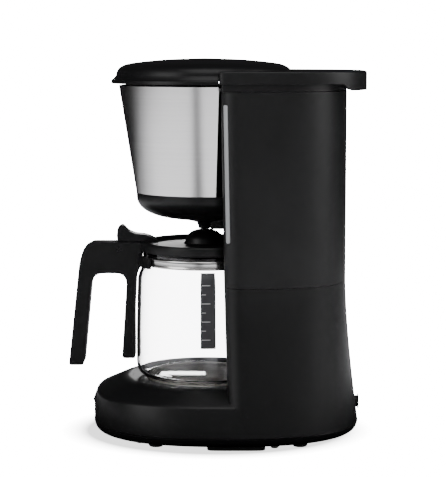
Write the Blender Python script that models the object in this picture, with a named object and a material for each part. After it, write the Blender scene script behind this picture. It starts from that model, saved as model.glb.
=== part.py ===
"""Drip coffee maker: base with hot plate, water column, brew head and glass jug.

Frame: +Z up, the jug side faces -Y, the origin is under the middle of the machine.
Every size below is in millimetres; make_object turns them into Blender's metres.
"""
import math

import bmesh
import bpy
from mathutils import Vector

METRES = 0.001  # one millimetre

# ---- driving dimensions ------------------------------------------------------------------
GAP = 0.3  # between two pieces that touch
WALL = 2.5  # moulded shells
TANK_WALL = 2.0

HEAD_Y = -10.0  # upright axis shared by lid, brew head, jug and hot plate
ROUND = 32  # sides of a large turned piece
SMALL_ROUND = 12  # sides of a pin, screw or hose clamp

BASE_Y = 8.0  # middle of the base
BASE_HALF_LENGTH = 111.3
BASE_HALF_WIDTH = 91.0
BASE_POWER = 2.4  # superellipse exponent of the base outline
FOOT_HEIGHT = 4.0
PLATE_BOTTOM = FOOT_HEIGHT + GAP
PLATE_THICKNESS = 2.0
SEAM_HEIGHT = 11.6  # where the base pan meets the base shell
DECK_EDGE_HEIGHT = 36.0
CREST_HEIGHT = 48.0
CREST_RADIUS = 64.0
DISH_DROP = 1.6
DISH_HOLE_RADIUS = 49.3
TONGUE_SLOPE = 5.5  # how far the base's side walls lean in up to their edge
TONGUE_REAR = 96.0  # where the base's top edge ends inside the column
COLUMN_FOOT = SEAM_HEIGHT + 0.8
COLUMN_LEVELS = (44.0, 66.0, 94.0)  # heights where the lower column's flare is shaped
DECK_DEPTH = 5.0  # how far under the crest the wall of the jug's recess starts

COLUMN_SEAM = 131.0
COLUMN_TOP = 287.2
COLUMN_SIDE_Y = 22.0  # the flat sides end here and the rounded rear begins
COLUMN_POWER = 2.8  # superellipse exponent of the rounded rear
COLUMN_FOOT_POWER = 2.25
COLUMN_SIDE = 76.0
COLUMN_FRONT = 6.5
COLUMN_REAR = 107.7
COLUMN_CORNER = (9.0, 14.0)
COLUMN_LEAN = 3.0  # how far the front edge leans forward up the tank housing
FLARE = 14.7  # how far the sides stand out at the foot of the column
REAR_FLARE = 11.4
FLARE_CURVE = 1.5  # exponent of the flare down the column
FRONT_FLARE = 3.5
JUG_RECESS = 66.0
HEAD_RECESS = 52.0

HEAD_TOP_RADIUS = 71.0
HEAD_BOTTOM_RADIUS = 57.0
HEAD_BOTTOM = 202.5
CEILING = HEAD_BOTTOM + 0.7  # top of the jug recess
STEEL_TOP = 291.2
STEEL_THICKNESS = 0.8
HEAD_END_ANGLE = 10.0  # how far past the widest point the steel reaches, in degrees

BOWL_RADIUS = 50.0
BOWL_WALL = 2.0
NOZZLE_RADIUS = 6.4
NOZZLE_BORE = 4.2
NOZZLE_BOTTOM = 171.6
NOZZLE_TOP = 176.7
SHIELD_HALF_WIDTH = 9.0  # drip shield from the nozzle back to the column
SHIELD_REAR = 8.0
SHIELD_TOP = 180.2
BASKET_CLEARANCE = 1.2
BASKET_FLOOR = 193.0
BASKET_FLOOR_RADIUS = 28.0
BASKET_OUTLET = 3.5
BASKET_WALL = 1.8
DRIP_STEM_RADIUS = 2.4
DRIP_HEAD_RADIUS = 7.2
DRIP_SEAT_HEIGHT = 180.9
DRIP_SPRING_RADIUS = 4.6
DRIP_SPRING_TURNS = 3
DRIP_WIRE_RADIUS = 0.45

FRAME_BOTTOM = COLUMN_TOP + GAP
FRAME_TOP = 303.5
BAND_BOTTOM = 293.2
BAND_OUT = 2.0  # how far the top band stands out from the column
REAR_LIP = 124.2
REAR_LIP_BOTTOM = 287.8
LIP_START = 101.0  # where the band's lower edge starts to drop
LIP_BLEND = 7.0
DECK_THICKNESS = 2.5
DECK_SPOUT_HOLE = 5.0
FILL_ANGLES = (48.0, 80.0)  # ends of the right-hand water slot round the head's axis, in degrees
WELL_CLEARANCE = 1.5

LID_RADIUS = 73.5
LID_TOP = 313.5
LID_SKIRT_BOTTOM = 298.0
LID_FLANGE_RADIUS = 77.3
LID_FLANGE_BOTTOM = 292.8
LID_FLANGE_TOP = 296.4
FLANGE_SHORT = 1.2  # how far the flange ends short of the steel panel's ends, in degrees
LID_HINGE_Y = 54.0
LID_HINGE_Z = 302.6
HINGE_PIN_RADIUS = 1.5
HINGE_HOLE_CLEARANCE = 0.3
HINGE_EAR_RADIUS = 2.8
LID_LUG_HALF_WIDTH = 3.9
FRAME_EAR_WIDTH = 4.0
HINGE_SIDE_GAP = 0.4  # between the lid's lug and the frame's ears
NOTCH_SIDE_GAP = 0.9  # between the ears and the notch that the lid's skirt swings past them with
NOTCH_START = 0.0  # how far behind the hinge the notch begins
NOTCH_LENGTH = 20.0

JUG_RADIUS = 57.5
JUG_WALL = 2.2
JUG_FOOT_RADIUS = 46.0
JUG_SHOULDER_RADIUS = 56.2
JUG_SHOULDER_HEIGHT = 131.0
JUG_SHOULDER_TOP = (54.2, 136.6)  # radius and height
JUG_NECK_RADIUS = 51.6
JUG_NECK_HEIGHT = 141.0
JUG_RIM = 153.0
JUG_LID_RADIUS = 53.5
JUG_LID_TOP = 161.2
JUG_LID_DOME_TOP = 171.2
STRAP_BOTTOM = 142.4
STRAP_TOP = 149.6
STRAP_THICKNESS = 0.8
HANDLE_HALF_WIDTH = 9.5
HANDLE_FRONT = -124.2
HANDLE_BOTTOM = 56.6
HANDLE_TOP = 160.6
THUMB_HINGE = (-82.0, 154.5)

HOTPLATE_RADIUS = DISH_HOLE_RADIUS - 0.7
HOTPLATE_TOP = 47.0
HOTPLATE_THICKNESS = 1.5
HOTPLATE_LIP = 41.4
GASKET_WIDTH = 5.5
GASKET_THICKNESS = 1.8
JUG_FOOT = HOTPLATE_TOP + GAP
JUG_ORIGIN = (0.0, HEAD_Y, JUG_FOOT)

HEATER_RADIUS = 34.0
HEATER_TUBE_RADIUS = 4.5
HEATER_HEIGHT = 36.0
HEATER_REACH = 52.0  # from the head's axis back to the ends of the tube
HEATER_CLAMP_HALF_LENGTH = 46.0
HEATER_CLAMP_HALF_WIDTH = 6.0
HEATER_CLAMP_THICKNESS = 2.0
THERMOSTAT_RADIUS = 8.0
THERMOSTAT_X = -14.0
THERMOSTAT_DEPTH = 10.0
FUSE_RADIUS = 2.4
FUSE_ENDS = (6.0, 30.0)
HOSE_RADIUS = 4.0
HOSE_BORE = 2.6
RISER_X = -68.2
RISER_Y = 17.0
RISER_HEAD_X = -57.0
RISER_HEAD_Y = 13.0
HOSE_CLAMP_HALF_WIDTH = 2.0
HOSE_CLAMP_THICKNESS = 1.1
SPOUT_RADIUS = 3.6
SPOUT_BORE = 2.4
SPOUT_RISE = 6.5  # of the spout's axis above the deck

TANK_FLOOR = COLUMN_SEAM + 9.0
TANK_MARGIN = 1.5  # round the tank inside its housing
TANK_FRONT = (20.0, 30.0)  # front of its right and left arms, short of the riser hose
TANK_CORNER = 4.0
TANK_OUTLET_RADIUS = 3.2
VALVE_Y = 82.0
VALVE_TOP = TANK_FLOOR - GAP
VALVE_RADIUS = 7.0
VALVE_SEAT_DEPTH = 14.0
NIPPLE_RADIUS = 3.6
NIPPLE_BORE = 2.4
BALL_RADIUS = 3.4
WINDOW_HALF_WIDTH = 2.0
WINDOW_BOTTOM = 167.0
WINDOW_TOP = 277.0
WINDOW_ANGLE = 41.0  # where it lies on the rounded front corner, from straight ahead

SWITCH_HEIGHT = 23.5
SWITCH_HALF_WIDTH = 9.6
SWITCH_HALF_HEIGHT = 6.4
SWITCH_WALL = 1.4
SWITCH_DEPTH = 16.0
SWITCH_PROUD = 0.6
SWITCH_POCKET = 9.5
SWITCH_CUT = 9.0
ROCKER_AXIS_DEPTH = 2.6
ROCKER_REST_TILT = 7.0  # degrees
GLAND_HEIGHT = 24.0
GLAND_RADIUS = 5.0
GLAND_BORE = 3.4
GLAND_DEPTH = 6.0
GLAND_PROUD = 0.9

SCREW_POST_RADIUS = 4.2
SCREW_POST_TOP = 80.0
SCREW_POST_INSET = 1.0
SCREW_PILOT_RADIUS = 1.8
SCREW_PILOT_TOP = 22.0
SCREW_PASS_RADIUS = 2.2
SCREW_PASS_TOP = 9.0
SCREW_SHANK_RADIUS = 1.4
SCREW_HEAD_RADIUS = 3.6
SCREW_HEAD_BOTTOM = 1.8
SCREW_TIP = 20.0
FOOT_RADIUS = 6.2
SIDE_FOOT_X = 76.0
SIDE_FOOT_Y = BASE_Y + 8.0
SIDE_FOOT_HALF = (5.0, 23.5)
SIDE_FOOT_POWER = 5.0
FOOT_BEVEL = 1.2

SCREW_PLACES = [(-58.0, -62.0), (58.0, -62.0), (-75.5, 47.0), (75.5, 47.0)]
FOOT_PLACES = [("front_left", -62.0, -49.0), ("front_right", 62.0, -49.0),
               ("rear_left", -62.0, 68.0), ("rear_right", 62.0, 68.0)]

FINISHES = {  # colour, roughness, metallic
    "black_plastic": ((0.012, 0.012, 0.013), 0.32, 0.0),
    "dark_satin_plastic": ((0.018, 0.018, 0.020), 0.42, 0.0),
    "brushed_steel": ((0.62, 0.61, 0.60), 0.30, 1.0),
    "bright_steel": ((0.72, 0.72, 0.71), 0.16, 1.0),
    "glass": ((0.92, 0.92, 0.95), 0.02, 0.0),
    "clear_plastic": ((0.75, 0.77, 0.78), 0.20, 0.0),
    "milky_plastic": ((0.62, 0.64, 0.65), 0.45, 0.0),
    "rubber": ((0.02, 0.02, 0.02), 0.80, 0.0),
    "silicone": ((0.55, 0.53, 0.50), 0.60, 0.0),
    "aluminium": ((0.66, 0.66, 0.67), 0.38, 1.0),
    "plated_steel": ((0.55, 0.54, 0.52), 0.35, 1.0),
}


# ---- making objects ----------------------------------------------------------------------
def clear_scene():
    """Remove every object, so that only this model is left."""
    for item in list(bpy.data.objects):
        bpy.data.objects.remove(item, do_unlink=True)


def finish_material(name, finish):
    """One Principled material for one piece."""
    colour, roughness, metallic = FINISHES[finish]
    material = bpy.data.materials.new(name + "_" + finish)
    material.use_nodes = True
    shader = material.node_tree.nodes["Principled BSDF"]
    shader.inputs["Base Color"].default_value = (*colour, 1.0)
    shader.inputs["Roughness"].default_value = roughness
    shader.inputs["Metallic"].default_value = metallic
    material.diffuse_color = (*colour, 1.0)
    return material


def make_object(name, loops, finish, closed=False, origin=(0.0, 0.0, 0.0)):
    """Skin a row of equal loops into one closed solid; a loop of one point is a pole."""
    bm = bmesh.new()
    rows = []
    for loop in loops:
        rows.append([bm.verts.new((Vector(point) - Vector(origin)) * METRES) for point in loop])
    pairs = list(zip(rows, rows[1:]))
    if closed:
        pairs.append((rows[-1], rows[0]))
    for low, high in pairs:
        bridge(bm, low, high)
    if not closed:
        for row in (rows[0], rows[-1]):
            if len(row) > 2:
                bm.faces.new(row)
    bmesh.ops.recalc_face_normals(bm, faces=bm.faces)
    mesh = bpy.data.meshes.new(name)
    bm.to_mesh(mesh)
    bm.free()
    mesh.shade_smooth()
    mesh.set_sharp_from_angle(angle=math.radians(35.0))
    item = bpy.data.objects.new(name, mesh)
    item.location = Vector(origin) * METRES
    bpy.context.scene.collection.objects.link(item)
    if finish:
        mesh.materials.append(finish_material(name, finish))
    return item


def bridge(bm, low, high):
    """Join two rows of vertices with faces."""
    count = max(len(low), len(high))
    for index in range(count):
        after = (index + 1) % count
        if len(low) == 1:
            bm.faces.new((low[0], high[index], high[after]))
        elif len(high) == 1:
            bm.faces.new((low[index], low[after], high[0]))
        else:
            bm.faces.new((low[index], low[after], high[after], high[index]))


def combine(target, tool, operation):
    """Boolean the target with a tool that stays out of the model."""
    modifier = target.modifiers.new(tool.name, "BOOLEAN")
    modifier.object = tool
    modifier.operation = operation
    modifier.solver = "EXACT"
    tool.hide_render = True
    tool.display_type = "WIRE"


# ---- outlines ----------------------------------------------------------------------------
def blend(start, end, share):
    """Value part of the way from start to end."""
    return start + (end - start) * share


def circle(radius, z, count=ROUND, x=0.0, y=HEAD_Y):
    """Level circle, or a single point where the radius is nought."""
    if radius == 0.0:
        return [(x, y, z)]
    steps = [2.0 * math.pi * index / count for index in range(count)]
    return [(x + radius * math.cos(a), y + radius * math.sin(a), z) for a in steps]


def superellipse(half_x, half_y, z, count=ROUND, y=BASE_Y, power=BASE_POWER):
    """Level superellipse, with its points at the same angles as a circle's."""
    points = []
    for index in range(count):
        a = 2.0 * math.pi * index / count
        c, s = math.cos(a), math.sin(a)
        x_part = math.copysign(abs(c) ** (2.0 / power), c)
        y_part = math.copysign(abs(s) ** (2.0 / power), s)
        points.append((half_x * x_part, y + half_y * y_part, z))
    return points


def column_outline(side, front, rear, recess, corner, z, front_left=None, power=COLUMN_POWER):
    """C-shaped section of the column: rounded rear, two arms, hollow front for the jug."""
    front_left = front if front_left is None else front_left
    outline = []
    for sign, edge in ((1, front), (-1, front_left)):
        arm = [(math.sqrt(recess ** 2 - (edge - HEAD_Y) ** 2), edge)]
        for step in range(4):
            a = 0.5 * math.pi * step / 3
            arm.append((side - corner[0] * (1.0 - math.sin(a)), edge + corner[1] * (1.0 - math.cos(a))))
        rear_half = []
        for step in range(9):
            a = 0.5 * math.pi * step / 9
            x = side * math.cos(a) ** (2.0 / power)
            y = COLUMN_SIDE_Y + (rear - COLUMN_SIDE_Y) * math.sin(a) ** (2.0 / power)
            rear_half.append((x, max(y, edge + corner[1] + 0.5)))
        half = [(sign * x, y) for x, y in arm + rear_half]
        outline.append(half)
    right, left = outline
    points = right + [(0.0, rear)] + left[::-1]
    start = math.pi - math.asin((front_left - HEAD_Y) / recess)
    end = math.asin((front - HEAD_Y) / recess)
    for step in range(1, 16):
        a = blend(start, end, step / 16)
        points.append((recess * math.cos(a), HEAD_Y + recess * math.sin(a)))
    return [(x, y, z) for x, y in points]


def column_shell_outline(z, recess, inset=0.0):
    """Outline of the column's moulded shells at a height, or of its inner face with an inset."""
    upper = max(0.0, (z - COLUMN_SEAM) / (COLUMN_TOP - COLUMN_SEAM))
    lower = max(0.0, (COLUMN_SEAM - z) / (COLUMN_SEAM - SEAM_HEIGHT))
    spread = lower ** FLARE_CURVE
    side = COLUMN_SIDE + FLARE * spread
    front = COLUMN_FRONT - COLUMN_LEAN * upper + FRONT_FLARE * lower
    rear = COLUMN_REAR + REAR_FLARE * spread
    corner = (COLUMN_CORNER[0] - inset, COLUMN_CORNER[1] - inset)
    power = blend(COLUMN_POWER, COLUMN_FOOT_POWER, spread)
    return column_outline(side - inset, front + inset, rear - inset, recess + inset, corner, z, power=power)


def arc_strip(outer, inner, start, end, z, steps=22):
    """Level strip between two arcs about the head's axis; angles in degrees."""
    angles = [math.radians(blend(start, end, step / steps)) for step in range(steps + 1)]
    points = [(outer * math.cos(a), HEAD_Y + outer * math.sin(a), z) for a in angles]
    points += [(inner * math.cos(a), HEAD_Y + inner * math.sin(a), z) for a in reversed(angles)]
    return points


def turned(name, profile, finish, count=ROUND, x=0.0, y=HEAD_Y, origin=(0.0, 0.0, 0.0)):
    """Solid of revolution about an upright axis; a profile off the axis closes on itself."""
    loops = [circle(radius, z, count, x, y) for radius, z in profile]
    ring = profile[0][0] > 0.0 and profile[-1][0] > 0.0
    return make_object(name, loops, finish, closed=ring, origin=origin)


def disc(name, radius, low, high, finish, count=SMALL_ROUND, x=0.0, y=HEAD_Y, origin=(0.0, 0.0, 0.0)):
    """Upright cylinder."""
    loops = [circle(radius, low, count, x, y), circle(radius, high, count, x, y)]
    return make_object(name, loops, finish, origin=origin)


def extruded(name, outline, x_low, x_high, finish, origin=(0.0, 0.0, 0.0)):
    """Solid with a Y-Z outline, straight along X."""
    loops = [[(x, y, z) for y, z in outline] for x in (x_low, x_high)]
    return make_object(name, loops, finish, origin=origin)


def cross_pin(name, radius, x_low, x_high, y, z, finish, origin=(0.0, 0.0, 0.0)):
    """Cylinder along X."""
    steps = [2.0 * math.pi * index / SMALL_ROUND for index in range(SMALL_ROUND)]
    outline = [(y + radius * math.cos(a), z + radius * math.sin(a)) for a in steps]
    return extruded(name, outline, x_low, x_high, finish, origin)


def block(name, low, high, finish, origin=(0.0, 0.0, 0.0)):
    """Plain box between two corners."""
    outline = [(low[1], low[2]), (high[1], low[2]), (high[1], high[2]), (low[1], high[2])]
    return extruded(name, outline, low[0], high[0], finish, origin)


def smooth_route(points, steps):
    """Points along a Catmull-Rom curve through the given points."""
    ends = [Vector(points[0]) * 2 - Vector(points[1])]
    ends += [Vector(point) for point in points]
    ends += [Vector(points[-1]) * 2 - Vector(points[-2])]
    route = []
    for index in range(1, len(ends) - 2):
        p0, p1, p2, p3 = ends[index - 1:index + 3]
        for step in range(steps):
            t = step / steps
            route.append(0.5 * (2 * p1 + (p2 - p0) * t + (2 * p0 - 5 * p1 + 4 * p2 - p3) * t ** 2
                                + (3 * p1 - p0 - 3 * p2 + p3) * t ** 3))
    return route + [Vector(points[-1])]


def swept_loops(route, radius, sides):
    """Circles square to a route, with no twist between them."""
    loops = []
    side = None
    for index, point in enumerate(route):
        ahead = route[min(index + 1, len(route) - 1)] - route[max(index - 1, 0)]
        ahead.normalize()
        if side is None:
            side = ahead.orthogonal().normalized()
        side = (side - ahead * side.dot(ahead)).normalized()
        up = ahead.cross(side)
        loops.append([point + radius * (math.cos(a) * side + math.sin(a) * up)
                      for a in (2.0 * math.pi * step / sides for step in range(sides))])
    return loops


def hose(name, points, radius, bore, finish, sides=6, steps=3):
    """Hollow tube along a smooth route, open at both ends."""
    route = smooth_route(points, steps)
    outside = swept_loops(route, radius, sides)
    inside = swept_loops(route, bore, sides)
    return make_object(name, outside + inside[::-1], finish, closed=True)


# ---- base --------------------------------------------------------------------------------
def tongue_outline(front_in, side_in, rear, z):
    """Outline of the base's front part at a height, set in from the seam's outline."""
    front = BASE_Y - BASE_HALF_LENGTH + front_in
    return superellipse(BASE_HALF_WIDTH - side_in, 0.5 * (rear - front), z, y=0.5 * (rear + front))


def base_outer_loops(inset=0.0):
    """Outside of the base from the seam up to the raised rim of the dish."""
    drop = inset * 1.1
    seam_rear = BASE_Y + BASE_HALF_LENGTH - inset
    middle = blend(SEAM_HEIGHT, DECK_EDGE_HEIGHT, 0.6)
    return [tongue_outline(inset, inset, seam_rear, SEAM_HEIGHT),
            tongue_outline(1.0 + inset, 0.45 * TONGUE_SLOPE + inset,
                           blend(seam_rear, TONGUE_REAR, 0.6), middle),
            tongue_outline(2.0 + inset, TONGUE_SLOPE + inset, TONGUE_REAR, DECK_EDGE_HEIGHT - drop),
            tongue_outline(4.2 + inset, TONGUE_SLOPE + 2.2 + inset, TONGUE_REAR - 3.0,
                           DECK_EDGE_HEIGHT + 1.8 - drop),
            circle(CREST_RADIUS + 6.0 - inset, CREST_HEIGHT - 0.8 - drop),
            circle(CREST_RADIUS - inset, CREST_HEIGHT - drop)]


def base_shell():
    """Base and lower column in one moulding, with the dish round the hot plate."""
    dish = CREST_HEIGHT - DISH_DROP
    loops = base_outer_loops()
    loops += [circle(DISH_HOLE_RADIUS, dish), circle(DISH_HOLE_RADIUS, dish - WALL)]
    shell = make_object("base_shell", loops + base_outer_loops(WALL)[::-1], "black_plastic", closed=True)
    deck_under = CREST_HEIGHT - DECK_DEPTH
    buried = JUG_RECESS + WALL + 1.5
    low, middle, high = COLUMN_LEVELS
    levels = ((COLUMN_FOOT, buried), (deck_under, buried), (deck_under + 0.6, JUG_RECESS), (middle, JUG_RECESS),
              (high, JUG_RECESS), (COLUMN_SEAM - GAP, JUG_RECESS))
    sections = [column_shell_outline(z, recess) for z, recess in levels]
    column = make_object("add_lower_column", sections, None)
    combine(shell, column, "UNION")
    heights = (SEAM_HEIGHT - 1.0, low, middle, high, COLUMN_SEAM + 1.0)
    hollow = make_object("cut_lower_column",
                         [column_shell_outline(z, JUG_RECESS, WALL) for z in heights], None)
    combine(shell, hollow, "DIFFERENCE")
    for index, (x, y) in enumerate(SCREW_PLACES):
        foot = PLATE_BOTTOM + PLATE_THICKNESS + GAP
        post = disc(f"add_post_{index}", SCREW_POST_RADIUS, foot, SCREW_POST_TOP, None, x=x, y=y)
        if y < COLUMN_FRONT:
            limit = base_outer_loops(SCREW_POST_INSET)
        else:
            limit = [column_shell_outline(z, JUG_RECESS, SCREW_POST_INSET) for z in (0.0, *COLUMN_LEVELS)]
        solid = make_object(f"limit_post_{index}", limit, None)
        combine(post, solid, "INTERSECT")
        combine(shell, post, "UNION")
        pilot = disc(f"cut_pilot_{index}", SCREW_PILOT_RADIUS, 0.0, SCREW_PILOT_TOP, None, x=x, y=y)
        combine(shell, pilot, "DIFFERENCE")
    combine(shell, switch_opening(), "DIFFERENCE")
    combine(shell, gland_opening(), "DIFFERENCE")


def switch_front():
    """Y of the base's front face at the switch."""
    return BASE_Y - BASE_HALF_LENGTH + 1.0


def switch_opening():
    """Tool that opens the base's front for the switch."""
    half_x = SWITCH_HALF_WIDTH + SWITCH_WALL + GAP
    half_z = SWITCH_HALF_HEIGHT + SWITCH_WALL + GAP
    low = (-half_x, switch_front() - SWITCH_CUT, SWITCH_HEIGHT - half_z)
    high = (half_x, switch_front() + SWITCH_CUT, SWITCH_HEIGHT + half_z)
    return block("cut_switch", low, high, None)


def gland_opening():
    """Tool that opens the base's rear for the lead's gland."""
    rear = BASE_Y + BASE_HALF_LENGTH
    loops = []
    for y in (rear - 2.0 * GLAND_DEPTH, rear + GLAND_DEPTH):
        loops.append([(x, y, z) for x, z in gland_circle(GLAND_RADIUS + GAP)])
    return make_object("cut_gland", loops, None)


def gland_circle(radius):
    """X-Z circle round the gland's axis."""
    steps = [2.0 * math.pi * index / SMALL_ROUND for index in range(SMALL_ROUND)]
    return [(radius * math.cos(a), GLAND_HEIGHT + radius * math.sin(a)) for a in steps]


def base_plate():
    """Pan that closes the base from below."""
    bottom, floor, top = PLATE_BOTTOM, PLATE_BOTTOM + PLATE_THICKNESS, SEAM_HEIGHT - GAP
    long, wide = BASE_HALF_LENGTH, BASE_HALF_WIDTH
    loops = [superellipse(wide - 5.0, long - 5.0, bottom), superellipse(wide - 1.5, long - 1.5, bottom + 2.5),
             superellipse(wide, long, top), superellipse(wide - WALL, long - WALL, top),
             superellipse(wide - 6.5, long - 6.5, floor)]
    plate = make_object("base_plate", loops, "black_plastic")
    for index, (x, y) in enumerate(SCREW_PLACES):
        combine(plate, disc(f"cut_plate_{index}", SCREW_PASS_RADIUS, 0.0, SCREW_PASS_TOP, None, x=x,
                            y=y), "DIFFERENCE")


def base_screws():
    """Four screws up through the pan into the base shell's posts."""
    head_top = PLATE_BOTTOM - GAP
    for index, (x, y) in enumerate(SCREW_PLACES):
        low, wide, thin = SCREW_HEAD_BOTTOM, SCREW_HEAD_RADIUS, SCREW_SHANK_RADIUS
        profile = [(0.0, low), (wide - 0.8, low), (wide, low + 1.0), (wide, head_top), (thin, head_top),
                   (thin, SCREW_TIP - 2.0), (0.0, SCREW_TIP)]
        turned(f"base_screw_{index + 1}", profile, "plated_steel", SMALL_ROUND, x, y)


def feet():
    """Four round feet, and a long one under the middle of each side."""
    for label, x, y in FOOT_PLACES:
        profile = [(0.0, 0.0), (FOOT_RADIUS - FOOT_BEVEL, 0.0), (FOOT_RADIUS, FOOT_BEVEL),
                   (FOOT_RADIUS, FOOT_HEIGHT), (0.0, FOOT_HEIGHT)]
        turned(f"foot_{label}", profile, "rubber", SMALL_ROUND, x, y)
    for label, sign in (("left", -1), ("right", 1)):
        loops = []
        half_x, half_y = SIDE_FOOT_HALF
        for inset, z in ((FOOT_BEVEL, 0.0), (0.0, FOOT_BEVEL), (0.0, FOOT_HEIGHT)):
            loops.append([(sign * SIDE_FOOT_X + x, y, z) for x, y, _ in
                          superellipse(half_x - inset, half_y - inset, z, 16, SIDE_FOOT_Y, SIDE_FOOT_POWER)])
        make_object(f"foot_side_{label}", loops, "rubber")


def power_switch():
    """Rocker in its housing; the rocker turns on a level axis and rests switched off."""
    front = switch_front() - SWITCH_PROUD
    half_x, half_z = SWITCH_HALF_WIDTH + SWITCH_WALL, SWITCH_HALF_HEIGHT + SWITCH_WALL
    housing = block("switch_housing", (-half_x, front, SWITCH_HEIGHT - half_z),
                    (half_x, front + SWITCH_DEPTH, SWITCH_HEIGHT + half_z), "black_plastic")
    pocket = block("cut_rocker", (-SWITCH_HALF_WIDTH, front - 4.0, SWITCH_HEIGHT - SWITCH_HALF_HEIGHT),
                   (SWITCH_HALF_WIDTH, front + SWITCH_POCKET, SWITCH_HEIGHT + SWITCH_HALF_HEIGHT), None)
    combine(housing, pocket, "DIFFERENCE")
    axis = (0.0, front + ROCKER_AXIS_DEPTH, SWITCH_HEIGHT)
    tilt = math.radians(ROCKER_REST_TILT)
    outline = []
    for y, z in ((-3.3, 5.0), (-1.9, 0.0), (-3.3, -5.0), (2.0, -5.0), (5.0, -2.5), (5.0, 2.5), (2.0, 5.0)):
        outline.append((axis[1] + y * math.cos(tilt) - z * math.sin(tilt),
                        axis[2] + y * math.sin(tilt) + z * math.cos(tilt)))
    half = SWITCH_HALF_WIDTH - GAP
    extruded("switch_rocker", outline, -half, half, "dark_satin_plastic", origin=axis)


def cord_gland():
    """Bush in the rear of the base that the mains lead passes through."""
    rear = BASE_Y + BASE_HALF_LENGTH
    steps = ((GLAND_RADIUS, rear - GLAND_DEPTH), (GLAND_RADIUS, rear + 0.2), (GLAND_RADIUS + 1.6, rear + 0.3),
             (GLAND_RADIUS + 1.2, rear + GLAND_PROUD), (GLAND_BORE, rear + GLAND_PROUD),
             (GLAND_BORE, rear - GLAND_DEPTH))
    loops = [[(x, y, z) for x, z in gland_circle(radius)] for radius, y in steps]
    make_object("cord_gland", loops, "rubber", closed=True)


# ---- heater and water way ----------------------------------------------------------------
def hotplate():
    """Pressed steel warming plate with its rim turned down, and its gasket."""
    top, under, lip = HOTPLATE_TOP, HOTPLATE_TOP - HOTPLATE_THICKNESS, HOTPLATE_LIP
    radius = HOTPLATE_RADIUS
    profile = [(0.0, top), (radius - 1.0, top), (radius, top - 1.0), (radius, lip),
               (radius - HOTPLATE_THICKNESS, lip), (radius - HOTPLATE_THICKNESS, under), (0.0, under)]
    turned("hotplate", profile, "bright_steel")
    high = CREST_HEIGHT - DISH_DROP - WALL - GAP - 0.4
    inner = HOTPLATE_RADIUS + GAP
    outer, low = inner + GASKET_WIDTH, high - GASKET_THICKNESS
    turned("hotplate_gasket", [(inner, high), (outer, high), (outer, low), (inner, low)], "silicone")


def heater():
    """Horseshoe heating tube under the plate, its clamp, thermostat and fuse."""
    ends_y = HEAD_Y + HEATER_REACH
    points = [(HEATER_RADIUS, ends_y), (HEATER_RADIUS, HEAD_Y + 0.5 * HEATER_REACH)]
    for step in range(7):
        a = math.pi * step / 6
        points.append((HEATER_RADIUS * math.cos(a), HEAD_Y - HEATER_RADIUS * math.sin(a)))
    points += [(-HEATER_RADIUS, HEAD_Y + 0.5 * HEATER_REACH), (-HEATER_RADIUS, ends_y)]
    route = smooth_route([(x, y, HEATER_HEIGHT) for x, y in points], 2)
    make_object("heater_tube", swept_loops(route, HEATER_TUBE_RADIUS, 8), "aluminium")
    under = HEATER_HEIGHT - HEATER_TUBE_RADIUS - GAP
    long, wide, below = HEATER_CLAMP_HALF_LENGTH, HEATER_CLAMP_HALF_WIDTH, under - HEATER_CLAMP_THICKNESS
    block("heater_clamp", (-long, HEAD_Y - wide, below), (long, HEAD_Y + wide, under), "plated_steel")
    disc("thermostat", THERMOSTAT_RADIUS, below - THERMOSTAT_DEPTH, below - GAP, "aluminium", 16,
         x=THERMOSTAT_X)
    cross_pin("thermal_fuse", FUSE_RADIUS, *FUSE_ENDS, HEAD_Y, below - FUSE_RADIUS - GAP, "clear_plastic")


def water_tank():
    """Reservoir inside the tank housing, open at its top, with a hole for the outlet."""
    low, top, step_z = TANK_FLOOR, COLUMN_TOP - 0.7, CEILING + WALL + 1.0
    side = COLUMN_SIDE - WALL - TANK_MARGIN
    rear = COLUMN_REAR - WALL - TANK_MARGIN
    front_right, front_left = TANK_FRONT
    loops = []
    wide = JUG_RECESS + WALL + TANK_MARGIN
    narrow = HEAD_RECESS + WALL + 1.0
    for inset, heights in ((0.0, (low, step_z, step_z + 3.0, top)),
                           (TANK_WALL, (top, step_z + 3.0 + TANK_WALL, step_z + TANK_WALL, low + TANK_WALL))):
        recesses = (wide, wide, narrow, narrow) if inset == 0.0 else (narrow, narrow, wide, wide)
        for z, recess in zip(heights, recesses):
            corner = TANK_CORNER - inset * 0.8
            loops.append(column_outline(side - inset, front_right + inset, rear - inset, recess + inset,
                                        (corner, corner), z, front_left=front_left + inset))
    tank = make_object("water_tank", loops, "milky_plastic")
    combine(tank, disc("cut_tank_outlet", TANK_OUTLET_RADIUS, low - 2.0, low + 5.0, None, y=VALVE_Y),
            "DIFFERENCE")


def check_valve():
    """One-way valve under the tank: a body with a seat, and a ball that lifts off it."""
    seat = VALVE_TOP - VALVE_SEAT_DEPTH
    shoulder, end = seat - 4.0, seat - 14.0
    cage, neck = BALL_RADIUS + 0.8, BALL_RADIUS - 0.4
    profile = [(VALVE_RADIUS, VALVE_TOP), (VALVE_RADIUS, shoulder), (NIPPLE_RADIUS, shoulder),
               (NIPPLE_RADIUS, end),
               (NIPPLE_BORE, end), (NIPPLE_BORE, seat), (cage, seat + 1.6), (cage, seat + 10.5),
               (neck, seat + 12.0), (neck, VALVE_TOP)]
    turned("check_valve", profile, "milky_plastic", 16, 0.0, VALVE_Y)
    middle = seat + 3.3
    profile = [(0.0, middle - BALL_RADIUS)]
    for step in range(1, 6):
        a = math.pi * step / 6
        profile.append((BALL_RADIUS * math.sin(a), middle - BALL_RADIUS * math.cos(a)))
    profile.append((0.0, middle + BALL_RADIUS))
    turned("check_ball", profile, "bright_steel", SMALL_ROUND, 0.0, VALVE_Y, origin=(0.0, VALVE_Y, middle))


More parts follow.
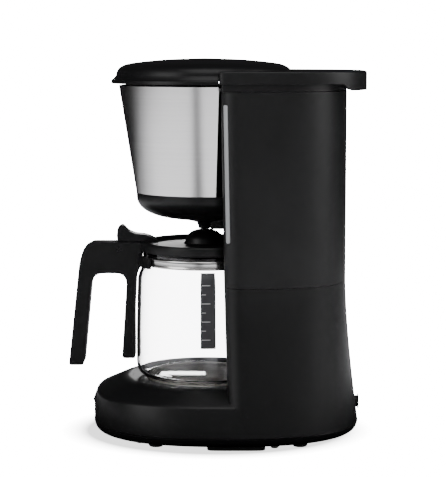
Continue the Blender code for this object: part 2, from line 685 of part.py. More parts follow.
def hoses():
    """Cold hose from the valve to the heater, and riser hose from the heater to the head."""
    nipple = VALVE_TOP - 28.0
    heater_end = HEAD_Y + HEATER_REACH + 2.0 * GAP
    hose("cold_hose", [(0.0, VALVE_Y, nipple - GAP), (0.0, VALVE_Y, 98.0), (0.0, VALVE_Y, 86.0),
                       (6.0, VALVE_Y - 2.0, 56.0),
                       (24.0, 70.0, 38.0), (HEATER_RADIUS, 56.0, HEATER_HEIGHT),
                       (HEATER_RADIUS, heater_end, HEATER_HEIGHT)], HOSE_RADIUS, HOSE_BORE, "silicone")
    hose("riser_hose", [(-HEATER_RADIUS, heater_end, HEATER_HEIGHT),
                        (-HEATER_RADIUS, heater_end + 5.0, HEATER_HEIGHT),
                        (-HEATER_RADIUS - 6.0, 58.0, HEATER_HEIGHT),
                        (-60.0, 52.0, 44.0), (-71.0, 32.0, 66.0), (RISER_X, RISER_Y, 100.0),
                        (RISER_X, RISER_Y, 140.0), (RISER_X, RISER_Y, 206.0),
                        (RISER_HEAD_X, RISER_HEAD_Y, 240.0), (RISER_HEAD_X, RISER_HEAD_Y, 262.0),
                        (RISER_HEAD_X, RISER_HEAD_Y, FRAME_BOTTOM - 2.0)],
         HOSE_RADIUS, HOSE_BORE, "silicone")
    inner, half = HOSE_RADIUS + GAP, HOSE_CLAMP_HALF_WIDTH
    outer = inner + HOSE_CLAMP_THICKNESS
    ring = [(outer, half), (outer, -half), (inner, -half), (inner, half)]
    for index, (x, y, z) in enumerate(((0.0, VALVE_Y, 104.0), (RISER_HEAD_X, RISER_HEAD_Y, 274.0))):
        profile = [(radius, z + offset) for radius, offset in ring]
        turned(f"hose_clamp_{index + 1}", profile, "plated_steel", SMALL_ROUND, x, y)


def outlet_spout():
    """Rigid arm that carries the hot water from the riser to the middle of the basket."""
    over = FRAME_BOTTOM + DECK_THICKNESS + SPOUT_RISE
    hose("outlet_spout", [(RISER_HEAD_X, RISER_HEAD_Y, FRAME_BOTTOM - 1.0),
                          (RISER_HEAD_X, RISER_HEAD_Y, over - 3.0),
                          (RISER_HEAD_X + 6.0, RISER_HEAD_Y - 2.4, over + 0.5), (-30.0, 2.1, over + 0.5),
                          (-6.0, HEAD_Y + 2.0, over), (0.0, HEAD_Y, over - 7.0)],
         SPOUT_RADIUS, SPOUT_BORE, "dark_satin_plastic", steps=3)


# ---- column and brew head ----------------------------------------------------------------
def tank_housing():
    """Upper column: an open-ended shell round the tank, with the slot for the level window."""
    levels = ((COLUMN_SEAM, JUG_RECESS), (CEILING, JUG_RECESS), (CEILING + 0.6, HEAD_RECESS),
              (COLUMN_TOP, HEAD_RECESS))
    outside = [column_shell_outline(z, recess) for z, recess in levels]
    levels = ((COLUMN_TOP, HEAD_RECESS), (CEILING + 0.6 + WALL, HEAD_RECESS), (CEILING + WALL, JUG_RECESS),
              (COLUMN_SEAM, JUG_RECESS))
    inside = [column_shell_outline(z, recess, WALL) for z, recess in levels]
    shell = make_object("tank_housing", outside + inside, "dark_satin_plastic", closed=True)
    combine(shell, window_tool("cut_window", WINDOW_HALF_WIDTH + GAP, GAP), "DIFFERENCE")
    window = make_object("level_window", outside + inside, "clear_plastic", closed=True)
    combine(window, window_tool("limit_window", WINDOW_HALF_WIDTH, 0.0), "INTERSECT")


def window_tool(name, half_width, margin):
    """Slim box square to the rounded front corner, leaning as the corner does."""
    a = math.radians(WINDOW_ANGLE)
    normal = Vector((math.sin(a) / COLUMN_CORNER[0], -math.cos(a) / COLUMN_CORNER[1], 0.0)).normalized()
    across = Vector((-normal.y, normal.x, 0.0))
    loops = []
    for z in (WINDOW_BOTTOM - margin, WINDOW_TOP + margin):
        lean = COLUMN_LEAN * (z - COLUMN_SEAM) / (COLUMN_TOP - COLUMN_SEAM)
        x = COLUMN_SIDE - COLUMN_CORNER[0] * (1.0 - math.sin(a))
        y = COLUMN_FRONT - lean + COLUMN_CORNER[1] * (1.0 - math.cos(a))
        middle = Vector((x, y, z))
        corners = ((-half_width, -4.5), (half_width, -4.5), (half_width, 3.0), (-half_width, 3.0))
        loops.append([middle + across * u + normal * v for u, v in corners])
    return make_object(name, loops, None)


def head_radius(z):
    """Outside radius of the steel panel at a height."""
    return blend(HEAD_BOTTOM_RADIUS, HEAD_TOP_RADIUS, (z - HEAD_BOTTOM) / (STEEL_TOP - HEAD_BOTTOM))


def brew_head():
    """Steel panel round the front of the head, and the moulded wall that it is clipped on."""
    start, end = HEAD_END_ANGLE, -180.0 - HEAD_END_ANGLE
    loops = []
    for z in (HEAD_BOTTOM, STEEL_TOP):
        loops.append(arc_strip(head_radius(z), head_radius(z) - STEEL_THICKNESS, start, end, z))
    make_object("steel_panel", loops, "brushed_steel")
    loops = []
    for z in (HEAD_BOTTOM, COLUMN_TOP):
        outer = head_radius(z) - STEEL_THICKNESS - GAP
        loops.append(arc_strip(outer, outer - WALL, start, end, z))
    make_object("head_wall", loops, "black_plastic")


def brew_funnel():
    """Bowl that holds the basket, with the outlet neck under it."""
    top, ledge = COLUMN_TOP - GAP, HEAD_BOTTOM - GAP
    outer, inner = BOWL_RADIUS, BOWL_RADIUS - BOWL_WALL
    neck = NOZZLE_RADIUS
    profile = [(NOZZLE_BORE, NOZZLE_BOTTOM), (neck - 1.6, NOZZLE_BOTTOM), (neck, NOZZLE_TOP), (15.6, 179.2),
               (30.0, 181.0), (40.0, 183.0), (48.0, 186.2), (53.6, 190.4), (HEAD_BOTTOM_RADIUS - 0.4, 195.6),
               (HEAD_BOTTOM_RADIUS, ledge), (outer, ledge), (outer, top), (inner, top), (inner, 191.4),
               (36.6, 186.3), (14.8, 181.7), (NOZZLE_BORE, 180.4)]
    bowl = turned("brew_funnel", profile, "black_plastic")
    shield = block("add_shield", (-SHIELD_HALF_WIDTH, HEAD_Y + NOZZLE_BORE + 0.8, NOZZLE_BOTTOM),
                   (SHIELD_HALF_WIDTH, SHIELD_REAR, SHIELD_TOP), None)
    combine(bowl, shield, "UNION")


def filter_basket():
    """Lift-out cone for the paper filter, hung from its rim, with an outlet in its floor."""
    top = COLUMN_TOP + 0.1
    rim = BOWL_RADIUS - 0.4
    cone = BOWL_RADIUS - BOWL_WALL - BASKET_CLEARANCE
    wall = BASKET_WALL
    profile = [(BASKET_OUTLET, BASKET_FLOOR), (BASKET_FLOOR_RADIUS, BASKET_FLOOR), (cone, top), (rim, top),
               (rim, top + wall), (cone - wall, top + wall), (BASKET_FLOOR_RADIUS - wall, BASKET_FLOOR + wall),
               (BASKET_OUTLET, BASKET_FLOOR + wall)]
    turned("filter_basket", profile, "dark_satin_plastic")


def drip_stop():
    """Spring-loaded plug in the outlet neck: the jug's lid pushes it up and lets coffee out."""
    tip = JUG_LID_DOME_TOP + 0.7
    origin = (0.0, HEAD_Y, tip)
    stem, head = DRIP_STEM_RADIUS, DRIP_HEAD_RADIUS
    seat = DRIP_SEAT_HEIGHT
    top = seat + 7.5
    profile = [(0.0, tip), (stem - 0.8, tip), (stem, tip + 1.2), (stem, seat), (head, seat + 1.4),
               (head, seat + 2.7), (stem, seat + 3.0), (stem, top), (0.0, top)]
    turned("drip_stop", profile, "dark_satin_plastic", 16, origin=origin)
    inner, outer = stem + GAP, head - 0.4
    low, high = seat + 3.3, seat + 4.3
    turned("drip_stop_seal", [(inner, low), (outer, low), (outer, high), (inner, high)], "silicone", 16,
           origin=origin)
    turns, coil = DRIP_SPRING_TURNS, DRIP_SPRING_RADIUS
    bottom = high + DRIP_WIRE_RADIUS + GAP
    ceiling = BASKET_FLOOR - DRIP_WIRE_RADIUS - 0.35
    route = []
    count = turns * 10
    for step in range(count + 1):
        a = 2.0 * math.pi * turns * step / count
        z = blend(bottom, ceiling, step / count)
        route.append(Vector((coil * math.cos(a), HEAD_Y + coil * math.sin(a), z)))
    make_object("drip_stop_spring", swept_loops(route, DRIP_WIRE_RADIUS, 5), "plated_steel")


def band_bottom(y):
    """Height of the top band's lower edge, which drops at the rear lip."""
    share = min(1.0, max(0.0, (y - LIP_START) / LIP_BLEND))
    return blend(BAND_BOTTOM, REAR_LIP_BOTTOM, share)


def top_frame():
    """Cover of the column: raised band with a rear lip, lid well, deck and hinge ears."""
    well = LID_RADIUS + WELL_CLEARANCE
    neck = dict(side=COLUMN_SIDE - 0.5, front=COLUMN_FRONT - COLUMN_LEAN + 0.5, rear=COLUMN_REAR - 0.5,
                corner=(1.5, 3.0))
    band = dict(side=COLUMN_SIDE + BAND_OUT, front=COLUMN_FRONT - COLUMN_LEAN - 1.2, rear=REAR_LIP,
                corner=(3.0, 6.0))
    crown = dict(side=band["side"] - 1.4, front=band["front"] + 1.4, rear=band["rear"] - 1.8, corner=(1.8, 4.6))
    inner_neck = dict(side=neck["side"] - 1.6, front=20.0, rear=neck["rear"] - WALL, corner=(0.8, 2.0))
    inner_band = dict(side=band["side"] - WALL, front=20.0, rear=band["rear"] - WALL, corner=(0.8, 2.0))
    inside_recess = well + 2.0
    inside_top = FRAME_TOP - WALL
    loops = [column_outline(**inner_band, recess=inside_recess, z=inside_top),
             column_outline(**inner_band, recess=inside_recess, z=inside_top - 3.5),
             column_outline(**inner_neck, recess=inside_recess, z=inside_top - 5.0),
             column_outline(**inner_neck, recess=inside_recess, z=FRAME_BOTTOM),
             column_outline(**neck, recess=well, z=FRAME_BOTTOM)]
    for section in (neck, band):
        loops.append([(x, y, band_bottom(y) + (0.0 if section is neck else 0.1))
                      for x, y, _ in column_outline(**section, recess=well, z=0.0)])
    loops += [column_outline(**band, recess=well, z=FRAME_TOP - 1.6),
              column_outline(**crown, recess=well, z=FRAME_TOP)]
    frame = make_object("top_frame", loops, "dark_satin_plastic")
    deck_top = FRAME_BOTTOM + DECK_THICKNESS
    combine(frame, frame_deck(deck_top), "UNION")
    for name, sign in (("left", -1), ("right", 1)):
        low = sign * (LID_LUG_HALF_WIDTH + HINGE_SIDE_GAP)
        high = low + sign * FRAME_EAR_WIDTH
        ear = extruded(f"add_ear_{name}", hinge_ear(deck_top - 1.0), min(low, high), max(low, high), None)
        combine(frame, ear, "UNION")
    hole = cross_pin("cut_frame_hinge", HINGE_PIN_RADIUS + HINGE_HOLE_CLEARANCE, -20.0, 20.0,
                     LID_HINGE_Y, LID_HINGE_Z, None)
    combine(frame, hole, "DIFFERENCE")


def frame_deck(top):
    """Level deck under the lid, with holes for the basket, the spout and filling water."""
    loops = []
    front = head_radius(FRAME_BOTTOM) - STEEL_THICKNESS - 0.4
    rear = LID_RADIUS + WELL_CLEARANCE + 1.3
    for z in (FRAME_BOTTOM, top):
        outline = []
        for radius, start, end, steps in ((rear, 10.0, 170.0, 18), (front, 170.0, 370.0, 22)):
            for step in range(steps + 1):
                a = math.radians(blend(start, end, step / steps))
                outline.append((radius * math.cos(a), HEAD_Y + radius * math.sin(a), z))
        loops.append(outline)
    deck = make_object("add_deck", loops, None)
    low, high = FRAME_BOTTOM - 2.0, top + 2.0
    combine(deck, disc("cut_deck_bowl", BOWL_RADIUS + 0.6, low, high, None, ROUND), "DIFFERENCE")
    combine(deck, disc("cut_deck_spout", DECK_SPOUT_HOLE, low, high, None, x=RISER_HEAD_X,
                       y=RISER_HEAD_Y), "DIFFERENCE")
    inner = HEAD_RECESS + WALL + 1.0 + TANK_WALL + 0.4
    near, far = FILL_ANGLES
    for name, start, end in (("right", near, far), ("left", 180.0 - far, 180.0 - near)):
        fill = [arc_strip(LID_RADIUS - 4.0, inner, start, end, z, 8) for z in (low, high)]
        combine(deck, make_object(f"cut_deck_fill_{name}", fill, None), "DIFFERENCE")
    return deck


def hinge_ear(foot):
    """Y-Z outline of an ear that stands on a level and rounds over the lid's hinge."""
    outline = [(LID_HINGE_Y + HINGE_EAR_RADIUS, foot)]
    for step in range(9):
        a = math.pi * step / 8
        outline.append((LID_HINGE_Y + HINGE_EAR_RADIUS * math.cos(a),
                        LID_HINGE_Z + HINGE_EAR_RADIUS * math.sin(a)))
    return outline + [(LID_HINGE_Y - HINGE_EAR_RADIUS, foot)]


def lid():
    """Domed lid with a flange round its front, hinged at its rear on a cross pin."""
    origin = (0.0, LID_HINGE_Y, LID_HINGE_Z)
    edge = LID_RADIUS
    outside = [(0.0, LID_TOP), (30.0, LID_TOP - 0.9), (50.0, LID_TOP - 2.7), (61.0, LID_TOP - 4.1),
               (67.0, LID_TOP - 5.6), (71.0, LID_TOP - 8.0), (edge - 0.5, LID_TOP - 11.4), (edge, LID_TOP - 15.0),
               (edge, LID_SKIRT_BOTTOM)]
    inside = [(edge - WALL, LID_SKIRT_BOTTOM), (edge - WALL, LID_TOP - 14.8), (edge - 3.0, LID_TOP - 12.2),
              (68.6, LID_TOP - 9.8), (65.4, LID_TOP - 8.0), (60.0, LID_TOP - 6.7), (49.0, LID_TOP - 5.2),
              (29.0, LID_TOP - 3.4), (0.0, LID_TOP - WALL)]
    cover = turned("lid", outside + inside, "black_plastic", origin=origin)
    start, end = HEAD_END_ANGLE - FLANGE_SHORT, -180.0 - HEAD_END_ANGLE + FLANGE_SHORT
    inner = LID_RADIUS - WALL + 0.4
    flange = [arc_strip(LID_FLANGE_RADIUS, inner, start, end, LID_FLANGE_BOTTOM),
              arc_strip(LID_FLANGE_RADIUS, inner, start, end, LID_FLANGE_TOP - 0.8),
              arc_strip(LID_FLANGE_RADIUS - 1.6, inner, start, end, LID_FLANGE_TOP),
              arc_strip(LID_RADIUS - 0.5, inner, start, end, LID_SKIRT_BOTTOM + 2.0)]
    combine(cover, make_object("add_lid_flange", flange, None), "UNION")
    reach = LID_LUG_HALF_WIDTH + HINGE_SIDE_GAP + FRAME_EAR_WIDTH
    ears = reach + NOTCH_SIDE_GAP
    notch = block("cut_hinge_notch", (-ears, LID_HINGE_Y + NOTCH_START,
                                      LID_FLANGE_BOTTOM),
                  (ears, LID_HINGE_Y + NOTCH_LENGTH, LID_TOP), None)
    combine(cover, notch, "DIFFERENCE")
    lug = [(LID_HINGE_Y - HINGE_EAR_RADIUS, LID_HINGE_Z)]
    for step in range(1, 9):
        a = math.pi + math.pi * step / 8
        lug.append((LID_HINGE_Y + HINGE_EAR_RADIUS * math.cos(a), LID_HINGE_Z + HINGE_EAR_RADIUS * math.sin(a)))
    lug += [(LID_HINGE_Y + HINGE_EAR_RADIUS, LID_HINGE_Z + 3.6),
            (LID_HINGE_Y - HINGE_EAR_RADIUS, LID_HINGE_Z + 5.0)]
    half = LID_LUG_HALF_WIDTH
    combine(cover, extruded("add_lid_lug", lug, -half, half, None), "UNION")
    hole = cross_pin("cut_lid_hinge", HINGE_PIN_RADIUS + HINGE_HOLE_CLEARANCE, -half - 2.0, half + 2.0,
                     LID_HINGE_Y, LID_HINGE_Z, None)
    combine(cover, hole, "DIFFERENCE")
    cross_pin("lid_hinge_pin", HINGE_PIN_RADIUS, -reach, reach, LID_HINGE_Y, LID_HINGE_Z, "plated_steel")


# ---- jug ---------------------------------------------------------------------------------
def jug_glass():
    """Blown jug: flat foot, round belly, shoulder, neck and rim."""
    outside = [(0.0, JUG_FOOT), (JUG_FOOT_RADIUS, JUG_FOOT)]
    wide, high = JUG_SHOULDER_TOP
    inside = [(JUG_NECK_RADIUS - JUG_WALL - 0.6, JUG_RIM), (JUG_NECK_RADIUS - JUG_WALL - 1.0, JUG_NECK_HEIGHT + 4.0),
              (JUG_NECK_RADIUS - JUG_WALL, JUG_NECK_HEIGHT - 1.0), (wide - JUG_WALL, high - 0.8),
              (JUG_SHOULDER_RADIUS - JUG_WALL, JUG_SHOULDER_HEIGHT - 0.6), (JUG_RADIUS - JUG_WALL - 0.6, 104.0),
              (JUG_RADIUS - JUG_WALL, 84.0)]
    corner = (JUG_RADIUS - JUG_FOOT_RADIUS, 9.2)
    for step in (1, 2, 3):
        a = 0.5 * math.pi * step / 3
        outside.append((JUG_FOOT_RADIUS + corner[0] * math.sin(a), JUG_FOOT + corner[1] * (1.0 - math.cos(a))))
    for step in (3, 2, 1):
        a = 0.5 * math.pi * step / 3
        inside.append((JUG_FOOT_RADIUS - JUG_WALL + corner[0] * math.sin(a),
                       JUG_FOOT + JUG_WALL + corner[1] * (1.0 - math.cos(a))))
    outside += [(JUG_RADIUS, 84.0), (JUG_RADIUS - 0.6, 104.0), (JUG_SHOULDER_RADIUS, JUG_SHOULDER_HEIGHT),
                (wide, high), (JUG_NECK_RADIUS, JUG_NECK_HEIGHT),
                (JUG_NECK_RADIUS - 0.4, JUG_RIM - 3.0), (JUG_NECK_RADIUS + 0.3, JUG_RIM)]
    inside += [(JUG_FOOT_RADIUS - JUG_WALL, JUG_FOOT + JUG_WALL), (0.0, JUG_FOOT + JUG_WALL)]
    turned("jug_glass", outside + inside, "glass", origin=JUG_ORIGIN)


def jug_strap():
    """Steel strap round the neck, and the screw that draws it into the handle."""
    inner = JUG_NECK_RADIUS + GAP
    outer = inner + STRAP_THICKNESS
    profile = [(inner, STRAP_BOTTOM), (outer, STRAP_BOTTOM), (outer, STRAP_TOP), (inner, STRAP_TOP)]
    turned("jug_strap", profile, "bright_steel", origin=JUG_ORIGIN)


def handle_outline():
    """Y-Z outline of the handle: top arm, long outer grip and short inner leg."""
    neck = HEAD_Y - JUG_NECK_RADIUS + 1.0
    belly = HEAD_Y - JUG_RADIUS - 0.9
    shoulder = HEAD_Y - JUG_SHOULDER_RADIUS - 0.9
    front, low, high = HANDLE_FRONT, HANDLE_BOTTOM, HANDLE_TOP
    outline = [(neck, high), (-104.0, high)]
    for step in range(1, 5):
        a = 0.5 * math.pi * step / 4
        outline.append((-104.0 - 10.6 * math.sin(a), high - 16.0 + 16.0 * math.cos(a)))
    outline += [(front, low + 1.2), (front + 1.2, low), (front + 11.5, low), (front + 13.0, low + 2.5),
                (-104.6, 127.0), (-101.5, 132.6), (-97.0, 134.4), (-82.0, 134.4), (-77.2, 132.4),
                (-75.2, 127.0),
                (-79.4, 64.0), (-78.0, 62.4), (belly - 0.4, 62.4), (belly, 64.0), (belly, 104.0),
                (shoulder, JUG_SHOULDER_HEIGHT), (HEAD_Y - JUG_SHOULDER_TOP[0] - 0.9, JUG_SHOULDER_TOP[1]),
                (HEAD_Y - JUG_NECK_RADIUS - 1.4, JUG_NECK_HEIGHT),
                (neck, JUG_NECK_HEIGHT + 1.4)]
    return outline


def jug_handle():
    """Handle with its collar round the strap, and a slot for the lid's hinge tongue."""
    handle = extruded("jug_handle", handle_outline(), -HANDLE_HALF_WIDTH, HANDLE_HALF_WIDTH, "black_plastic",
                      origin=JUG_ORIGIN)
    inner = JUG_NECK_RADIUS + GAP + STRAP_THICKNESS + GAP
    collar = [arc_strip(inner + 3.0, inner - 1.0, -125.0, -55.0, z, 12) for z in (STRAP_BOTTOM - 1.5,
                                                                                  STRAP_TOP + 0.6)]
    combine(handle, make_object("add_collar", collar, None), "UNION")
    keep_out = disc("cut_neck_room", inner, JUG_NECK_HEIGHT - 1.0, JUG_LID_TOP + 4.0, None, ROUND)
    combine(handle, keep_out, "DIFFERENCE")
    lid_room = disc("cut_lid_room", JUG_LID_RADIUS + GAP, JUG_RIM, JUG_LID_TOP + 4.0, None, ROUND)
    combine(handle, lid_room, "DIFFERENCE")
    y, z = THUMB_HINGE
    slot = block("cut_tongue_slot", (-4.6, y - 5.0, z - 5.5), (4.6, -60.0, JUG_LID_TOP + 4.0), None)
    combine(handle, slot, "DIFFERENCE")
    hole = cross_pin("cut_thumb_hinge", HINGE_PIN_RADIUS + HINGE_HOLE_CLEARANCE, -12.0, 12.0, y, z, None)
    combine(handle, hole, "DIFFERENCE")
    cross_pin("jug_lid_pin", HINGE_PIN_RADIUS, -HANDLE_HALF_WIDTH, HANDLE_HALF_WIDTH, y, z, "plated_steel",
              origin=JUG_ORIGIN)


def jug_lid():
    """Jug lid: ring, sunk top with a drip dome, skirt inside the neck, tongue and thumb lever."""
    low, high = JUG_RIM + GAP, JUG_LID_TOP
    skirt = JUG_NECK_RADIUS - JUG_WALL - 1.9
    outside = [(0.0, JUG_LID_DOME_TOP), (6.4, JUG_LID_DOME_TOP - 0.4), (11.8, JUG_LID_DOME_TOP - 2.6),
               (15.4, JUG_LID_DOME_TOP - 6.4), (16.8, 158.9), (44.0, 158.5), (48.0, high - 0.2),
               (JUG_LID_RADIUS - 1.4, high), (JUG_LID_RADIUS, high - 1.4), (JUG_LID_RADIUS, low)]
    inside = [(skirt, low), (skirt, JUG_RIM - 7.0), (skirt - 1.8, JUG_RIM - 7.0), (skirt - 1.8, 156.4),
              (14.6, 156.4),
              (12.6, 163.0), (9.0, 166.0), (0.0, JUG_LID_DOME_TOP - 2.4)]
    cover = turned("jug_lid", outside + inside, "black_plastic", origin=JUG_ORIGIN)
    y, z = THUMB_HINGE
    lever = [(y - 0.6, HANDLE_TOP + 0.5), (y - 1.6, 165.0), (y - 0.8, 172.5), (y + 2.8, 175.0),
             (y + 4.8, 173.7),
             (y + 8.2, 170.0), (y + 14.0, 167.5), (y + 22.5, 166.8), (y + 27.5, 165.0), (y + 31.5, 162.6),
             (y + 33.0, 159.8), (y + 26.0, 159.8), (y + 24.0, HANDLE_TOP + 0.5)]
    combine(cover, extruded("add_lever", lever, -7.0, 7.0, None), "UNION")
    tongue = [(y + 4.0, z - 3.5), (y + 4.0, 163.0), (y - 0.4, 163.0)]
    for step in range(1, 6):
        a = math.pi + 0.5 * math.pi * (step - 1) / 4
        tongue.append((y + 3.6 * math.cos(a), z + 3.6 * math.sin(a)))
    combine(cover, extruded("add_tongue", tongue, -4.2, 4.2, None), "UNION")
    hole = cross_pin("cut_tongue_hinge", HINGE_PIN_RADIUS + HINGE_HOLE_CLEARANCE, -9.0, 9.0, y, z, None)
    combine(cover, hole, "DIFFERENCE")


def build():
    """Make every piece of the machine."""
    clear_scene()
    base_shell()
    base_plate()
    base_screws()
    feet()
    power_switch()
    cord_gland()
    hotplate()
    heater()
    water_tank()
    check_valve()
    hoses()
    outlet_spout()
    tank_housing()
    brew_head()
    brew_funnel()
    filter_basket()
    drip_stop()
    top_frame()
    lid()
    jug_glass()
    jug_strap()
    jug_handle()
    jug_lid()


build()
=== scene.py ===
"""Drip coffee maker with a glass jug: looks, stage and camera.

Frame: +Z up, the jug side faces -Y. Sizes in the code are in millimetres; skin() turns them into metres.
"""

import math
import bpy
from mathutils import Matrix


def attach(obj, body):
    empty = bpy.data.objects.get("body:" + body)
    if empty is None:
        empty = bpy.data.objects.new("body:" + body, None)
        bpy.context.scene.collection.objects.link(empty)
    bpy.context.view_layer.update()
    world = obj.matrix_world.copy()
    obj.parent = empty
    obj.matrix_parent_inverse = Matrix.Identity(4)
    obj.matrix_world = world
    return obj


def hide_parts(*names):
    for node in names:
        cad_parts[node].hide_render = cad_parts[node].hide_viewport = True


bl_info = {
    "name": "Drip Coffee Maker",
    "version": (1, 0, 0),
    "blender": (4, 5, 0),
    "location": "3D View > Sidebar > Coffee Maker",
    "description": "Builds a drip coffee maker with a steel brew head and a glass jug",
    "category": "Object",
}

import bmesh
import bpy
from mathutils import Vector

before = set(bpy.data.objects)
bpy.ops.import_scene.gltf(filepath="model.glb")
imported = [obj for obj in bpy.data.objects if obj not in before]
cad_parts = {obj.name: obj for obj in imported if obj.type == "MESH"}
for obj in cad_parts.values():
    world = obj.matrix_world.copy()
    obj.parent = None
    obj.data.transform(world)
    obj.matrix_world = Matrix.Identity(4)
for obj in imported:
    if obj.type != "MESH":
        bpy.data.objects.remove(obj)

MM = 0.001

# ---- sizes -------------------------------------------------------------------------------
GAP = 0.3
WALL = 2.5
HEAD_Y = -10.0
FINE = 128  # sides of a large turned piece
SMALL = 40  # sides of a small one

BASE_Y = 8.0
BASE_HALF_LENGTH = 111.3
BASE_HALF_WIDTH = 91.0
BASE_POWER = 2.4
PLATE_BOTTOM = 4.3
SEAM_HEIGHT = 11.6
DECK_EDGE_HEIGHT = 36.0
CREST_HEIGHT = 48.0
CREST_RADIUS = 64.0
DISH_HEIGHT = 46.4
DISH_HOLE_RADIUS = 49.3
TONGUE_SLOPE = 5.5
TONGUE_REAR = 96.0

COLUMN_FOOT = 12.4
COLUMN_SEAM = 131.0
COLUMN_TOP = 287.2
COLUMN_SIDE_Y = 22.0
COLUMN_POWER = 2.8
COLUMN_FOOT_POWER = 2.25
COLUMN_SIDE = 76.0
COLUMN_FRONT = 6.5
COLUMN_REAR = 107.7
COLUMN_CORNER = (9.0, 14.0)
COLUMN_LEAN = 3.0
FLARE = 14.7
REAR_FLARE = 11.4
FLARE_CURVE = 1.5
FRONT_FLARE = 3.5
JUG_RECESS = 66.0
HEAD_RECESS = 52.0
CEILING = 203.2
WINDOW_BOTTOM = 167.0
WINDOW_TOP = 277.0
WINDOW_HALF_WIDTH = 2.0
WINDOW_ANGLE = 41.0

HEAD_TOP_RADIUS = 71.0
HEAD_BOTTOM_RADIUS = 57.0
HEAD_BOTTOM = 202.5
STEEL_TOP = 291.2
STEEL_THICKNESS = 0.8
HEAD_END_ANGLE = 10.0
BOWL_RADIUS = 50.0
NOZZLE_BOTTOM = 171.6

FRAME_BOTTOM = 287.5
FRAME_TOP = 303.5
BAND_BOTTOM = 293.2
REAR_LIP = 124.2
REAR_LIP_BOTTOM = 287.8
DECK_TOP = 290.0
WELL_RADIUS = 75.0

LID_RADIUS = 73.5
LID_TOP = 313.5
LID_SKIRT_BOTTOM = 298.0
LID_FLANGE_RADIUS = 77.3
LID_FLANGE_BOTTOM = 292.8
LID_FLANGE_TOP = 296.4
BAND_FRONT = 2.3  # front edge of the top band
BAND_GAP = 0.25  # between the band and the ends of the lid's flange
NOTCH_HALF_WIDTH = 9.2
SHIELD = (9.0, 8.0, 180.2)  # half width, rear and top of the shield behind the outlet neck
HINGE = (54.0, 302.6)
EAR_RADIUS = 2.8

JUG_FOOT = 47.3
JUG_RADIUS = 57.5
JUG_FOOT_RADIUS = 46.0
JUG_WALL = 2.2
JUG_SHOULDER = (56.2, 131.0)
JUG_SHOULDER_TOP = (54.2, 136.6)
JUG_NECK = (51.6, 141.0)
JUG_RIM = 153.0
JUG_LID_RADIUS = 53.5
JUG_LID_TOP = 161.2
DOME_TOP = 171.2
STRAP = (142.4, 149.6)
HANDLE_TOP = 160.6
HANDLE_BOTTOM = 56.6
HANDLE_FRONT = -124.2
THUMB_HINGE = (-82.0, 154.5)
HOTPLATE_RADIUS = 48.6
HOTPLATE_TOP = 47.0
SWITCH_HEIGHT = 23.5
GLAND_HEIGHT = 24.0


# ---- shader maths ------------------------------------------------------------------------
class Number:
    """A number inside a material; arithmetic on it adds Math nodes."""

    def __init__(self, finish, socket):
        self.finish = finish
        self.socket = socket

    def math(self, operation, first, second):
        made = self.finish.node("ShaderNodeMath", {"operation": operation}, {0: first, 1: second})
        return Number(self.finish, made.outputs[0])

    def __add__(self, other):
        return self.math("ADD", self, other)

    __radd__ = __add__

    def __sub__(self, other):
        return self.math("SUBTRACT", self, other)

    def __rsub__(self, other):
        return self.math("SUBTRACT", other, self)

    def __mul__(self, other):
        return self.math("MULTIPLY", self, other)

    __rmul__ = __mul__

    def power(self, other):
        return self.math("POWER", self, other)

    def larger(self, other):
        return self.math("MAXIMUM", self, other)

    def under(self, other):
        """1 where the number is less than the other, or 0."""
        return self.math("LESS_THAN", self, other)

    def size(self):
        """The number without its sign."""
        return self.math("ABSOLUTE", self, 0.0)


class Finish:
    """Nodes of one material, built in plain steps."""

    def __init__(self, name):
        self.material = bpy.data.materials.new(name)
        self.material.use_nodes = True
        self.tree = self.material.node_tree
        self.shader = self.tree.nodes.get("Principled BSDF")

    def node(self, kind, settings=None, sockets=None):
        """Add a node: its settings first, then the value or the link of each socket."""
        made = self.tree.nodes.new(kind)
        for key, value in (settings or {}).items():
            setattr(made, key, value)
        for key, value in (sockets or {}).items():
            self.feed(made.inputs[key], value)
        return made

    def feed(self, socket, value):
        """Link a number or an output to a socket, or set the socket's value."""
        if isinstance(value, Number):
            value = value.socket
        if isinstance(value, bpy.types.NodeSocket):
            self.tree.links.new(value, socket)
        else:
            socket.default_value = value

    def set(self, **sockets):
        """Feed sockets of the Principled shader; an underscore in a name stands for a space."""
        for key, value in sockets.items():
            self.feed(self.shader.inputs[key.replace("_", " ")], value)

    def stretched(self, scale):
        """The object's own coordinates, scaled along each axis."""
        place = self.node("ShaderNodeTexCoord").outputs["Object"]
        made = self.node("ShaderNodeVectorMath", {"operation": "MULTIPLY"}, {0: place, 1: scale})
        return made.outputs[0]

    def noise(self, scale, detail=2.0, roughness=0.5):
        """Noise from 0 to 1; scale is its number of features per metre along each axis."""
        made = self.node("ShaderNodeTexNoise", None,
                         {"Vector": self.stretched(scale), "Scale": 1.0, "Detail": detail,
                          "Roughness": roughness})
        return Number(self, made.outputs["Fac"])

    def spread(self, value, low, high):
        """Stretch a number so that low becomes 0 and high becomes 1."""
        made = self.node("ShaderNodeMapRange", {"clamp": True},
                         {"Value": value, "From Min": low, "From Max": high})
        return Number(self, made.outputs[0])

    def mix(self, factor, first, second):
        """Colour between two colours."""
        made = self.node("ShaderNodeMix", {"data_type": "RGBA"}, {0: factor, 6: first, 7: second})
        return made.outputs[2]

    def bump(self, height, distance, strength=1.0):
        """Feed the shader's Normal with a relief of that depth in metres."""
        made = self.node("ShaderNodeBump", None, {"Height": height, "Distance": distance,
                                                  "Strength": strength})
        self.set(Normal=made.outputs[0])


def shade(colour, factor):
    """The same colour, lighter or darker."""
    return (colour[0] * factor, colour[1] * factor, colour[2] * factor, 1.0)


